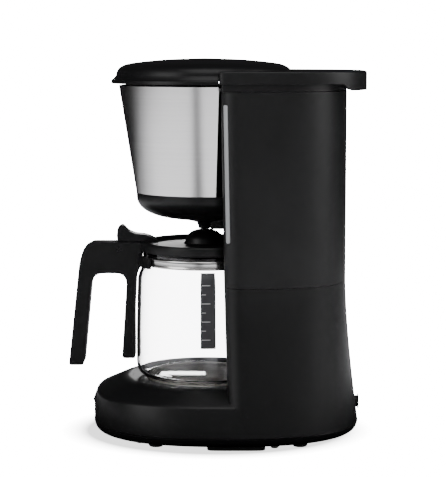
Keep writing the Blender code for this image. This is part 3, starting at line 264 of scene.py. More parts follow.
def plastic(name, colour, roughness, grain, specular=0.5):
    """Moulded plastic: fine spark grain, faint flow clouds and hairline scuffs."""
    f = Finish(name)
    clouds = f.noise((28.0, 28.0, 18.0), 3.0)
    grains = f.noise((2400.0, 2400.0, 2400.0), 2.0)
    scuffs = f.spread(f.noise((30.0, 420.0, 700.0), 2.0, 0.6), 0.66, 0.74)
    f.set(Base_Color=f.mix(clouds, shade(colour, 0.85), shade(colour, 1.2)))
    f.set(Roughness=clouds * 0.10 + scuffs * 0.08 + (roughness - 0.05))
    f.set(Specular_IOR_Level=specular)
    f.bump(grains, grain * MM)
    return f.material


def brushed_steel(name, colour):
    """Steel with fine level scratches and soft patches of wear."""
    f = Finish(name)
    lines = f.noise((14.0, 14.0, 5200.0), 3.0, 0.65)
    broad = f.noise((9.0, 9.0, 900.0), 2.0)
    patches = f.noise((22.0, 22.0, 14.0), 3.0)
    f.set(Base_Color=f.mix(lines * 0.6 + broad * 0.4, shade(colour, 0.82), shade(colour, 1.1)))
    f.set(Roughness=lines * 0.08 + patches * 0.05 + 0.16, Metallic=1.0)
    f.bump(lines * 0.7 + broad * 0.3, 0.012 * MM, 0.6)
    return f.material


def metal(name, colour, roughness, lines):
    """Plain metal with faint drawn lines."""
    f = Finish(name)
    drawn = f.noise((lines, lines, 60.0), 2.0)
    clouds = f.noise((60.0, 60.0, 60.0), 3.0)
    f.set(Base_Color=f.mix(clouds, shade(colour, 0.9), shade(colour, 1.06)))
    f.set(Roughness=drawn * 0.06 + clouds * 0.06 + (roughness - 0.06), Metallic=1.0)
    f.bump(drawn, 0.004 * MM, 0.5)
    return f.material


def clear(name, colour, roughness, ior):
    """See-through glass or plastic with the faintest of streaks."""
    f = Finish(name)
    streaks = f.noise((18.0, 18.0, 6.0), 2.0)
    smears = f.spread(f.noise((70.0, 70.0, 26.0), 3.0), 0.55, 0.8)
    f.set(Base_Color=f.mix(streaks, shade(colour, 0.99), shade(colour, 1.0)))
    f.set(Roughness=smears * 0.02 + roughness, IOR=ior, Transmission_Weight=1.0)
    f.bump(streaks, 0.08 * MM, 0.25)
    return f.material


def matt(name, colour, roughness, grain):
    """Rubber, silicone and other matt soft stuff."""
    f = Finish(name)
    specks = f.noise((900.0, 900.0, 900.0), 3.0)
    clouds = f.noise((50.0, 50.0, 50.0), 3.0)
    f.set(Base_Color=f.mix(clouds, shade(colour, 0.8), shade(colour, 1.25)))
    f.set(Roughness=clouds * 0.1 + (roughness - 0.05))
    f.bump(specks, grain * MM)
    return f.material


MADE = {}


def finish(slot):
    """The material of a slot, made the first time it is asked for."""
    looks = bpy.context.scene.coffee_looks
    makers = {
        "black_plastic": lambda: plastic(slot, looks.black, looks.gloss, 0.010, 0.25),
        "satin_plastic": lambda: plastic(slot, looks.satin, looks.gloss + 0.06, 0.016, 0.28),
        "brushed_steel": lambda: brushed_steel(slot, looks.steel),
        "bright_steel": lambda: metal(slot, looks.bright, 0.20, 240.0),
        "glass": lambda: clear(slot, looks.glass, 0.0, 1.45),
        "clear_plastic": lambda: plastic(slot, looks.window, 0.22, 0.004),
        "milky_plastic": lambda: plastic(slot, (0.60, 0.62, 0.63), 0.42, 0.008),
        "rubber": lambda: matt(slot, (0.012, 0.012, 0.012), 0.75, 0.03),
        "silicone": lambda: matt(slot, (0.52, 0.50, 0.47), 0.60, 0.01),
        "aluminium": lambda: metal(slot, (0.62, 0.62, 0.63), 0.38, 900.0),
        "plated_steel": lambda: metal(slot, (0.52, 0.51, 0.49), 0.34, 500.0),
    }
    if slot not in MADE:
        MADE[slot] = makers[slot]()
    return MADE[slot]


# ---- outlines ----------------------------------------------------------------------------
def blend(start, end, share):
    """Value part of the way from start to end."""
    return start + (end - start) * share


def rounded(points, steps=4, closed=True):
    """Round the corners of a polygon; a corner's third value is how far the rounding reaches."""
    made = []
    for index, point in enumerate(points):
        here = Vector(point[:2])
        ends = not closed and index in (0, len(points) - 1)
        if len(point) < 3 or ends:
            made.append((here.x, here.y))
            continue
        before = Vector(points[index - 1][:2]) - here
        after = Vector(points[(index + 1) % len(points)][:2]) - here
        reach = min(point[2], 0.48 * before.length, 0.48 * after.length)
        start, end = here + before.normalized() * reach, here + after.normalized() * reach
        for step in range(steps + 1):
            t = step / steps
            spot = start * (1 - t) ** 2 + here * 2 * t * (1 - t) + end * t ** 2
            made.append((spot.x, spot.y))
    return made


def rounded_rows(rows, reaches, steps=4):
    """Round a skin of equal rows across its rows; each row has its own reach, 0 for none."""
    made = []
    count = len(rows)
    for index, (row, reach) in enumerate(zip(rows, reaches)):
        if reach == 0.0:
            made.append([Vector(point) for point in row])
            continue
        fans = []
        for before, here, after in zip(rows[index - 1], row, rows[(index + 1) % count]):
            here = Vector(here)
            back, ahead = Vector(before) - here, Vector(after) - here
            limit = min(reach, 0.48 * back.length, 0.48 * ahead.length)
            start, end = here + back.normalized() * limit, here + ahead.normalized() * limit
            fans.append([start * (1 - t) ** 2 + here * 2 * t * (1 - t) + end * t ** 2
                         for t in (step / steps for step in range(steps + 1))])
        made += [list(row) for row in zip(*fans)]
    return made


def circle(radius, z, count=FINE, x=0.0, y=HEAD_Y):
    """Level circle, or a single point where the radius is nought."""
    if radius < 1e-6:
        return [(x, y, z)]
    steps = [2.0 * math.pi * index / count for index in range(count)]
    return [(x + radius * math.cos(a), y + radius * math.sin(a), z) for a in steps]


def superellipse(half_x, half_y, z, count=FINE, y=BASE_Y, power=BASE_POWER, x=0.0):
    """Level superellipse."""
    points = []
    for index in range(count):
        a = 2.0 * math.pi * index / count
        c, s = math.cos(a), math.sin(a)
        points.append((x + half_x * math.copysign(abs(c) ** (2.0 / power), c),
                       y + half_y * math.copysign(abs(s) ** (2.0 / power), s), z))
    return points


def column_outline(side, front, rear, recess, corner, z, power=COLUMN_POWER):
    """C-shaped section of the column: rounded rear, two arms, hollow front for the jug."""
    half = [(math.sqrt(recess ** 2 - (front - HEAD_Y) ** 2), front)]
    for step in range(13):
        a = 0.5 * math.pi * step / 12
        half.append((side - corner[0] * (1.0 - math.sin(a)), front + corner[1] * (1.0 - math.cos(a))))
    for step in range(36):
        a = 0.5 * math.pi * step / 36
        x = side * math.cos(a) ** (2.0 / power)
        y = COLUMN_SIDE_Y + (rear - COLUMN_SIDE_Y) * math.sin(a) ** (2.0 / power)
        half.append((x, max(y, front + corner[1] + 0.5)))
    points = half + [(0.0, rear)] + [(-x, y) for x, y in reversed(half)]
    end = math.asin((front - HEAD_Y) / recess)
    for step in range(1, 64):
        a = blend(math.pi - end, end, step / 64)
        points.append((recess * math.cos(a), HEAD_Y + recess * math.sin(a)))
    return [(x, y, z) for x, y in points]


def column_section(z, recess, inset=0.0):
    """Outline of the column's mouldings at a height."""
    upper = max(0.0, (z - COLUMN_SEAM) / (COLUMN_TOP - COLUMN_SEAM))
    lower = max(0.0, (COLUMN_SEAM - z) / (COLUMN_SEAM - SEAM_HEIGHT))
    spread = lower ** FLARE_CURVE
    side = COLUMN_SIDE + FLARE * spread
    front = COLUMN_FRONT - COLUMN_LEAN * upper + FRONT_FLARE * lower
    rear = COLUMN_REAR + REAR_FLARE * spread
    corner = (COLUMN_CORNER[0] - inset, COLUMN_CORNER[1] - inset)
    power = blend(COLUMN_POWER, COLUMN_FOOT_POWER, spread)
    return column_outline(side - inset, front + inset, rear - inset, recess + inset, corner, z, power)


def arc_strip(outer, inner, start, end, z, steps=90):
    """Level strip between two arcs about the head's axis; angles in degrees."""
    angles = [math.radians(blend(start, end, step / steps)) for step in range(steps + 1)]
    points = [(outer * math.cos(a), HEAD_Y + outer * math.sin(a), z) for a in angles]
    return points + [(inner * math.cos(a), HEAD_Y + inner * math.sin(a), z) for a in reversed(angles)]


# ---- making pieces -----------------------------------------------------------------------
def skin(name, rows, slot=None, closed=False):
    """Skin a row of equal loops into one closed mesh; a loop of one point is a pole."""
    bm = bmesh.new()
    made = [[bm.verts.new(Vector(point) * MM) for point in row] for row in rows]
    pairs = list(zip(made, made[1:]))
    if closed:
        pairs.append((made[-1], made[0]))
    for low, high in pairs:
        count = max(len(low), len(high))
        for index in range(count):
            after = (index + 1) % count
            if len(low) == 1:
                bm.faces.new((low[0], high[index], high[after]))
            elif len(high) == 1:
                bm.faces.new((low[index], low[after], high[0]))
            else:
                bm.faces.new((low[index], low[after], high[after], high[index]))
    if not closed:
        for row in (made[0], made[-1]):
            if len(row) > 2:
                bm.faces.new(row)
    bmesh.ops.recalc_face_normals(bm, faces=bm.faces)
    mesh = bpy.data.meshes.new(name)
    bm.to_mesh(mesh)
    bm.free()
    mesh.shade_smooth()
    mesh.set_sharp_from_angle(angle=math.radians(32.0))
    item = bpy.data.objects.new(name, mesh)
    bpy.context.scene.collection.objects.link(item)
    if slot:
        mesh.materials.append(finish(slot))
    return item


def turned(name, profile, slot=None, count=FINE, x=0.0, y=HEAD_Y):
    """Solid of revolution about an upright axis; a profile off the axis closes on itself."""
    ring = profile[0][0] > 1e-6 and profile[-1][0] > 1e-6
    points = rounded(profile, closed=ring)
    return skin(name, [circle(radius, z, count, x, y) for radius, z in points], slot, closed=ring)


def extruded(name, outline, x_low, x_high, slot=None):
    """Solid with a Y-Z outline, straight along X."""
    return skin(name, [[(x, y, z) for y, z in outline] for x in (x_low, x_high)], slot)


def pin(name, radius, x_low, x_high, y, z, slot=None):
    """Cylinder along X."""
    steps = [2.0 * math.pi * index / SMALL for index in range(SMALL)]
    return extruded(name, [(y + radius * math.cos(a), z + radius * math.sin(a)) for a in steps], x_low,
                    x_high, slot)


def block(name, low, high, slot=None):
    """Box between two corners."""
    outline = [(low[1], low[2]), (high[1], low[2]), (high[1], high[2]), (low[1], high[2])]
    return extruded(name, outline, low[0], high[0], slot)


def combine(target, tool, operation):
    """Boolean a piece with a tool that stays out of the picture."""
    modifier = target.modifiers.new(tool.name, "BOOLEAN")
    modifier.object = tool
    modifier.operation = operation
    modifier.solver = "EXACT"
    tool.hide_render = True
    tool.hide_viewport = False


def settle(item, width=0.0, angle=32.0):
    """Apply a piece's Booleans, drop their tools and round the edges left by that width."""
    tools = [modifier.object for modifier in item.modifiers]
    depsgraph = bpy.context.evaluated_depsgraph_get()
    mesh = bpy.data.meshes.new_from_object(item.evaluated_get(depsgraph))
    item.modifiers.clear()
    item.data = mesh
    for tool in tools:
        bpy.data.objects.remove(tool, do_unlink=True)
    if width > 0.0:
        bevel = item.modifiers.new("edges", "BEVEL")
        bevel.width = width * MM
        bevel.segments = 3
        bevel.limit_method = "ANGLE"
        bevel.angle_limit = math.radians(angle)
        bevel.harden_normals = True
    mesh.shade_smooth()
    mesh.set_sharp_from_angle(angle=math.radians(angle))
    return item


def place(item, body, *nodes):
    """Let a piece ride on a body and stand for those nodes."""
    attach(item, body)
    if nodes:
        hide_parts(*nodes)
    return item


def repaint(node, slot):
    """Give a node of the frame the slot's material."""
    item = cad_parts[node]
    for entry in item.material_slots:
        entry.material = finish(slot)


# ---- base --------------------------------------------------------------------------------
def tongue(front_in, side_in, rear, z):
    """Outline of the base's front part at a height."""
    front = BASE_Y - BASE_HALF_LENGTH + front_in
    return superellipse(BASE_HALF_WIDTH - side_in, 0.5 * (rear - front), z, y=0.5 * (rear + front))


def base_rows(inset=0.0):
    """Outside of the base from the seam up to the raised rim of the dish."""
    drop = inset * 1.1
    seam_rear = BASE_Y + BASE_HALF_LENGTH - inset
    middle = blend(SEAM_HEIGHT, DECK_EDGE_HEIGHT, 0.6)
    slope = TONGUE_SLOPE + inset
    return [tongue(inset, inset, seam_rear, SEAM_HEIGHT),
            tongue(1.0 + inset, 0.45 * TONGUE_SLOPE + inset, blend(seam_rear, TONGUE_REAR, 0.6), middle),
            tongue(2.0 + inset, slope, TONGUE_REAR, DECK_EDGE_HEIGHT - drop),
            tongue(4.2 + inset, slope + 2.2, TONGUE_REAR - 3.0, DECK_EDGE_HEIGHT + 1.8 - drop),
            circle(CREST_RADIUS + 6.0 - inset, CREST_HEIGHT - 0.8 - drop),
            circle(CREST_RADIUS - inset, CREST_HEIGHT - drop)]


def base_shell(edge):
    """Base and lower column in one moulding, with the dish round the hot plate."""
    rows = base_rows() + [circle(DISH_HOLE_RADIUS, DISH_HEIGHT), circle(DISH_HOLE_RADIUS, DISH_HEIGHT - WALL)]
    reaches = [0.5, 7.0, 2.4, 3.0, 3.0, 2.0, 0.6, 0.0]
    rows = rounded_rows(rows + base_rows(WALL)[::-1], reaches + [0.0] * 6)
    shell = skin("base_shell_moulding", rows, "black_plastic", closed=True)
    buried = JUG_RECESS + WALL + 1.5
    heights = [blend(43.6, COLUMN_SEAM - GAP, step / 14) for step in range(15)]
    sections = [column_section(z, buried) for z in (COLUMN_FOOT, 20.0, 28.0, 36.0, 43.0)]
    sections += [column_section(z, JUG_RECESS) for z in heights]
    combine(shell, skin("add_column", sections), "UNION")
    heights = [blend(SEAM_HEIGHT - 1.0, COLUMN_SEAM + 1.0, step / 14) for step in range(15)]
    combine(shell, skin("cut_column", [column_section(z, JUG_RECESS, WALL) for z in heights]), "DIFFERENCE")
    front = BASE_Y - BASE_HALF_LENGTH + 1.0
    opening = block("cut_switch", (-11.3, front - 8.0, SWITCH_HEIGHT - 8.1),
                    (11.3, front + 10.0, SWITCH_HEIGHT + 8.1))
    combine(shell, opening, "DIFFERENCE")
    rear = BASE_Y + BASE_HALF_LENGTH
    combine(shell, rear_tube("cut_gland", [(5.3, rear - 12.0), (5.3, rear + 6.0)]), "DIFFERENCE")
    return settle(shell, edge)


def rear_tube(name, profile, slot=None, closed=False):
    """Turned piece about the gland's level axis, which runs along Y."""
    steps = [2.0 * math.pi * index / SMALL for index in range(SMALL)]
    rows = [[(radius * math.cos(a), y, GLAND_HEIGHT + radius * math.sin(a)) for a in steps] for radius,
            y in profile]
    return skin(name, rows, slot, closed)


def base_pan():
    """Pan that closes the base from below, with a turned-in lower edge."""
    long, wide, top = BASE_HALF_LENGTH, BASE_HALF_WIDTH, SEAM_HEIGHT - GAP
    rows = [superellipse(8.0, 8.0, PLATE_BOTTOM), superellipse(wide - 5.0, long - 5.0, PLATE_BOTTOM),
            superellipse(wide - 1.5, long - 1.5, PLATE_BOTTOM + 2.5), superellipse(wide, long, top),
            superellipse(wide - WALL, long - WALL, top), superellipse(wide - 6.5, long - 6.5,
                                                                      PLATE_BOTTOM + 2.0)]
    rows = rounded_rows(rows, [0.0, 2.0, 2.0, 0.4, 0.0, 0.0])
    pan = skin("base_pan", rows, "black_plastic")
    for x, y in ((-58.0, -62.0), (58.0, -62.0), (-75.5, 47.0), (75.5, 47.0)):
        combine(pan, skin("cut_screw", [circle(2.2, z, SMALL, x, y) for z in (0.0, 9.0)]), "DIFFERENCE")
    for row in range(7):
        y = -46.0 + row * 4.6
        outline = rounded([(-17.0, y, 1.2), (17.0, y, 1.2), (17.0, y + 2.4, 1.2), (-17.0, y + 2.4, 1.2)])
        vent = skin("cut_vent", [[(x, y_at, z) for x, y_at in outline] for z in (0.0, PLATE_BOTTOM + 1.2)])
        combine(pan, vent, "DIFFERENCE")
    return settle(pan)


# ---- column and head ---------------------------------------------------------------------
def housing_rows():
    """Outside and inside of the tank housing."""
    outer = [(COLUMN_SEAM, JUG_RECESS), (166.0, JUG_RECESS), (CEILING, JUG_RECESS),
             (CEILING + 0.6, HEAD_RECESS),
             (244.0, HEAD_RECESS), (COLUMN_TOP, HEAD_RECESS)]
    inner = [(COLUMN_TOP, HEAD_RECESS), (CEILING + 0.6 + WALL, HEAD_RECESS), (CEILING + WALL, JUG_RECESS),
             (COLUMN_SEAM, JUG_RECESS)]
    return [column_section(z, r) for z, r in outer] + [column_section(z, r, WALL) for z, r in inner]


def window_tool(name, half_width, margin):
    """Slim round-ended prism square to the rounded front corner, leaning as the corner does."""
    a = math.radians(WINDOW_ANGLE)
    normal = Vector((math.sin(a) / COLUMN_CORNER[0], -math.cos(a) / COLUMN_CORNER[1], 0.0)).normalized()
    across = Vector((-normal.y, normal.x, 0.0))
    height = WINDOW_TOP - WINDOW_BOTTOM + 2.0 * margin
    outline = rounded([(-half_width, 0.0, 1.6), (half_width, 0.0, 1.6), (half_width, height, 1.6),
                       (-half_width, height, 1.6)], 5)
    rows = []
    for depth in (-4.5, 3.0):
        row = []
        for u, up in outline:
            z = WINDOW_BOTTOM - margin + up
            lean = COLUMN_LEAN * (z - COLUMN_SEAM) / (COLUMN_TOP - COLUMN_SEAM)
            x = COLUMN_SIDE - COLUMN_CORNER[0] * (1.0 - math.sin(a))
            y = COLUMN_FRONT - lean + COLUMN_CORNER[1] * (1.0 - math.cos(a))
            row.append(Vector((x, y, z)) + across * u + normal * depth)
        rows.append(row)
    return skin(name, rows)


def head_radius(z):
    """Outside radius of the steel panel at a height."""
    return blend(HEAD_BOTTOM_RADIUS, HEAD_TOP_RADIUS, (z - HEAD_BOTTOM) / (STEEL_TOP - HEAD_BOTTOM))


def head_strip(name, low, high, out, thickness, slot):
    """Part of a cone round the front of the head."""
    rows = [arc_strip(head_radius(z) - out, head_radius(z) - out - thickness, HEAD_END_ANGLE,
                      -180.0 - HEAD_END_ANGLE, z)
            for z in (blend(low, high, step / 8) for step in range(9))]
    return skin(name, rows, slot)


def funnel():
    """Bowl that holds the basket, with the outlet neck under it."""
    top, ledge = COLUMN_TOP - GAP, HEAD_BOTTOM - GAP
    outer, inner, bore = BOWL_RADIUS, BOWL_RADIUS - 2.0, 4.2
    profile = [(bore, NOZZLE_BOTTOM), (4.8, NOZZLE_BOTTOM, 0.8), (6.4, 176.7, 0.8), (15.6, 179.2, 5.0),
               (30.0, 181.0, 6.0), (40.0, 183.0, 4.5), (48.0, 186.2, 3.5), (53.6, 190.4, 3.0),
               (HEAD_BOTTOM_RADIUS - 0.4, 195.6, 2.5), (HEAD_BOTTOM_RADIUS, ledge, 0.5), (outer, ledge),
               (outer, top, 0.5), (inner, top, 0.5), (inner, 191.4, 2.0), (36.6, 186.3, 6.0),
               (14.8, 181.7, 4.0),
               (bore, 180.4)]
    bowl = turned("funnel_bowl", profile, "black_plastic")
    wide, rear, high = SHIELD
    shield = block("add_shield", (-wide, HEAD_Y + 5.0, NOZZLE_BOTTOM), (wide, rear, high))
    combine(bowl, shield, "UNION")
    return settle(bowl, 0.3)


def basket():
    """Lift-out cone for the paper filter."""
    top, rim, cone, wall, floor, low = COLUMN_TOP + 0.1, 49.6, 46.8, 1.8, 28.0, 193.0
    profile = [(3.5, low), (floor, low, 1.5), (cone, top, 0.5), (rim, top), (rim, top + wall, 0.6),
               (cone - wall, top + wall, 0.8), (floor - wall, low + wall, 1.2), (3.5, low + wall)]
    return turned("basket_cone", profile, "satin_plastic")


def drip_stop():
    """Plug and seal in the outlet neck."""
    tip = DOME_TOP + 0.7
    plug = turned("plug_stem", [(0.0, tip), (1.6, tip, 0.6), (2.4, tip + 1.2, 0.6), (2.4, 180.9),
                                (7.2, 182.3, 0.4),
                                (7.2, 183.6, 0.4), (2.4, 183.9), (2.4, 188.4, 0.6), (0.0, 188.4)],
                                "satin_plastic", SMALL)
    seal = turned("plug_seal", [(2.7, 184.2), (6.8, 184.2, 0.4), (6.8, 185.2, 0.4), (2.7, 185.2)],
                  "silicone", SMALL)
    place(plug, "drip_plug", "drip_stop")
    place(seal, "drip_plug", "drip_stop_seal")


# ---- top frame and lid -------------------------------------------------------------------
def band_bottom(y):
    """Height of the top band's lower edge, which drops at the rear lip."""
    share = min(1.0, max(0.0, (y - 101.0) / 7.0))
    return blend(BAND_BOTTOM, REAR_LIP_BOTTOM, share * share * (3.0 - 2.0 * share))


def top_frame(edge):
    """Cover of the column: raised band with a rear lip, lid well, deck and hinge ears."""
    front = COLUMN_FRONT - COLUMN_LEAN
    neck = {"side": COLUMN_SIDE - 0.5, "front": front + 0.5, "rear": COLUMN_REAR - 0.5, "corner": (1.5, 3.0)}
    band = {"side": COLUMN_SIDE + 2.0, "front": front - 1.2, "rear": REAR_LIP, "corner": (3.0, 6.0)}
    inside = {"side": band["side"] - WALL, "front": 20.0, "rear": band["rear"] - WALL, "corner": (0.8, 2.0)}
    under = {"side": neck["side"] - 1.6, "front": 20.0, "rear": neck["rear"] - WALL, "corner": (0.8, 2.0)}
    recess, high = WELL_RADIUS + 2.0, FRAME_TOP - WALL
    rows = [column_outline(**inside, recess=recess, z=high),
            column_outline(**inside, recess=recess, z=high - 3.5),
            column_outline(**under, recess=recess, z=high - 5.0),
            column_outline(**under, recess=recess, z=FRAME_BOTTOM),
            column_outline(**neck, recess=WELL_RADIUS, z=FRAME_BOTTOM)]
    for section, lift in ((neck, 0.0), (band, 0.1)):
        rows.append([(x, y, band_bottom(y) + lift)
                     for x, y, _ in column_outline(**section, recess=WELL_RADIUS, z=0.0)])
    for step in range(5):
        a = 0.5 * math.pi * step / 4
        crown = {"side": band["side"] - 1.6 * (1.0 - math.cos(a)),
                 "front": band["front"] + 1.6 * (1.0 - math.cos(a)),
                 "rear": band["rear"] - 2.0 * (1.0 - math.cos(a)),
                 "corner": (3.0 - 0.3 * step, 6.0 - 0.35 * step)}
        rows.append(column_outline(**crown, recess=WELL_RADIUS, z=FRAME_TOP - 1.8 + 1.8 * math.sin(a)))
    item = skin("top_cover", rows, "satin_plastic")
    combine(item, deck(), "UNION")
    for sign in (-1, 1):
        low, high = sorted((sign * 4.3, sign * 8.3))
        outline = [(HINGE[0] + EAR_RADIUS, DECK_TOP - 1.0)]
        for step in range(13):
            a = math.pi * step / 12
            outline.append((HINGE[0] + EAR_RADIUS * math.cos(a), HINGE[1] + EAR_RADIUS * math.sin(a)))
        outline.append((HINGE[0] - EAR_RADIUS, DECK_TOP - 1.0))
        combine(item, extruded("add_ear", outline, low, high), "UNION")
    combine(item, pin("cut_hinge", 1.8, -20.0, 20.0, *HINGE), "DIFFERENCE")
    return settle(item, edge)


def deck():
    """Level deck under the lid, with holes for the basket, the spout and filling water."""
    front, rear = head_radius(FRAME_BOTTOM) - STEEL_THICKNESS - 0.4, WELL_RADIUS + 1.3
    rows = []
    for z in (FRAME_BOTTOM, DECK_TOP):
        outline = []
        for radius, start, end, steps in ((rear, 10.0, 170.0, 60), (front, 170.0, 370.0, 70)):
            for step in range(steps + 1):
                a = math.radians(blend(start, end, step / steps))
                outline.append((radius * math.cos(a), HEAD_Y + radius * math.sin(a), z))
        rows.append(outline)
    item = skin("add_deck", rows)
    low, high = FRAME_BOTTOM - 2.0, DECK_TOP + 2.0
    combine(item, skin("cut_bowl", [circle(BOWL_RADIUS + 0.6, z) for z in (low, high)]), "DIFFERENCE")
    combine(item, skin("cut_spout", [circle(5.0, z, SMALL, -57.0, 13.0) for z in (low, high)]), "DIFFERENCE")
    inner = HEAD_RECESS + WALL + 1.0 + 2.0 + 0.4
    for start, end in ((48.0, 80.0), (100.0, 132.0)):
        fill = [arc_strip(LID_RADIUS - 4.0, inner, start, end, z, 24) for z in (low, high)]
        combine(item, skin("cut_fill", fill), "DIFFERENCE")
    return settle(item)


def lid(edge):
    """Domed lid with a flange round its front, hinged at its rear on a cross pin."""
    r, top, skirt = LID_RADIUS, LID_TOP, LID_SKIRT_BOTTOM
    profile = [(0.0, top), (30.0, top - 0.9, 14.0), (50.0, top - 2.7, 8.0), (61.0, top - 4.1, 4.5),
               (67.0, top - 5.6, 2.8), (71.0, top - 8.0, 2.2), (r - 0.5, top - 11.4, 1.7),
               (r, top - 15.0, 0.3),
               (r, skirt, 0.2), (r - WALL, skirt, 0.2), (r - WALL, top - 14.8), (r - 3.0, top - 12.2),
               (68.6, top - 9.8), (65.4, top - 8.0), (60.0, top - 6.7), (49.0, top - 5.2), (29.0, top - 3.4),
               (0.0, top - WALL)]
    item = turned("brew_lid_cover", profile, "black_plastic")
    start, end = HEAD_END_ANGLE + 2.0, -182.0 - HEAD_END_ANGLE
    inner = r - WALL + 0.4
    rows = [arc_strip(LID_FLANGE_RADIUS, inner, start, end, LID_FLANGE_BOTTOM)]
    for step in range(5):
        a = 0.5 * math.pi * step / 4
        rows.append(arc_strip(LID_FLANGE_RADIUS - 1.6 * (1.0 - math.cos(a)), inner, start, end,
                              LID_FLANGE_TOP - 1.2 + 1.2 * math.sin(a)))
    rows.append(arc_strip(r - 0.5, inner, start, end, skirt + 2.0))
    flange = skin("add_flange", rows)
    past = LID_FLANGE_RADIUS + 10.0
    level_end = block("cut_flange_end", (-past, BAND_FRONT - BAND_GAP, LID_FLANGE_BOTTOM - 2.0),
                      (past, 40.0, skirt + 4.0))
    combine(flange, level_end, "DIFFERENCE")
    combine(item, flange, "UNION")
    notch = block("cut_notch", (-NOTCH_HALF_WIDTH, HINGE[0], LID_FLANGE_BOTTOM),
                  (NOTCH_HALF_WIDTH, HINGE[0] + 20.0, top))
    combine(item, notch, "DIFFERENCE")
    lug = [(HINGE[0] - EAR_RADIUS, HINGE[1])]
    for step in range(1, 13):
        a = math.pi + math.pi * step / 12
        lug.append((HINGE[0] + EAR_RADIUS * math.cos(a), HINGE[1] + EAR_RADIUS * math.sin(a)))
    lug += [(HINGE[0] + EAR_RADIUS, HINGE[1] + 3.6), (HINGE[0] - EAR_RADIUS, HINGE[1] + 5.0)]
    combine(item, extruded("add_lug", lug, -3.9, 3.9), "UNION")
    combine(item, pin("cut_lid_hinge", 1.8, -6.0, 6.0, *HINGE), "DIFFERENCE")
    return settle(item, edge)


# ---- jug ---------------------------------------------------------------------------------
def jug_profile():
    """Outside of the jug from foot to rim, as radius and height."""
    return [(JUG_FOOT_RADIUS - 3.0, JUG_FOOT), (JUG_FOOT_RADIUS + 3.6, JUG_FOOT + 0.4, 3.6),
            (JUG_FOOT_RADIUS + 9.4, JUG_FOOT + 3.6, 4.0), (JUG_RADIUS, JUG_FOOT + 10.0, 5.0),
            (JUG_RADIUS, 84.0, 14.0),
            (JUG_RADIUS - 0.6, 104.0, 9.0), (*JUG_SHOULDER, 3.6), (*JUG_SHOULDER_TOP, 2.4), (*JUG_NECK, 2.0),
            (JUG_NECK[0] - 0.4, JUG_RIM - 3.0, 1.2), (JUG_NECK[0] + 0.3, JUG_RIM)]


def jug_glass():
    """Blown jug: flat foot, round belly, shoulder, neck and fire-polished rim."""
    outside = rounded(jug_profile(), 6, closed=False)
    inside = []
    for index in range(len(outside) - 1, -1, -1):
        before, after = outside[max(index - 1, 0)], outside[min(index + 1, len(outside) - 1)]
        along = (Vector(after) - Vector(before)).normalized()
        spot = Vector(outside[index]) + Vector((-along.y, along.x)) * JUG_WALL
        inside.append((max(spot.x, 1.0), min(spot.y, JUG_RIM)))
    rim = [(JUG_NECK[0] - 0.8, JUG_RIM)]
    profile = [(0.0, JUG_FOOT + 0.8), (34.0, JUG_FOOT + 0.6)] + outside + rim + inside[1:]
    profile += [(34.0, JUG_FOOT + 0.6 + JUG_WALL), (0.0, JUG_FOOT + 0.8 + JUG_WALL)]
    return turned("jug_body", profile, "glass")


def outside_at(z):
    """Outside radius of the jug at a height."""
    outline = rounded(jug_profile(), 6, closed=False)
    for (r0, z0), (r1, z1) in zip(outline, outline[1:]):
        if z0 <= z <= z1:
            return blend(r0, r1, (z - z0) / max(z1 - z0, 1e-6))
    return JUG_RADIUS


def print_patch(name, edges, lift, thickness, tone):
    """Thin printed patch on the jug; each of its edges is a height and two angles in degrees."""
    rows = []
    for z, left, right in edges:
        angles = [math.radians(blend(left, right, step / 10)) for step in range(11)]
        inner, outer = outside_at(z) + lift, outside_at(z) + lift + thickness
        row = [(outer * math.cos(a), HEAD_Y + outer * math.sin(a), z) for a in angles]
        rows.append(row + [(inner * math.cos(a), HEAD_Y + inner * math.sin(a), z) for a in reversed(angles)])
    item = skin(name, rows)
    item.data.materials.append(tone)
    return item


def strap():
    """Steel strap round the neck."""
    inner = JUG_NECK[0] + GAP
    outer = inner + 0.8
    low, high = STRAP
    return turned("neck_strap", [(inner, low), (outer, low, 0.35), (outer + 0.5, low + 1.0, 0.5),
                                 (outer, low + 2.0, 0.5), (outer, high - 2.0, 0.5),
                                 (outer + 0.5, high - 1.0, 0.5),
                                 (outer, high, 0.35), (inner, high)], "bright_steel")


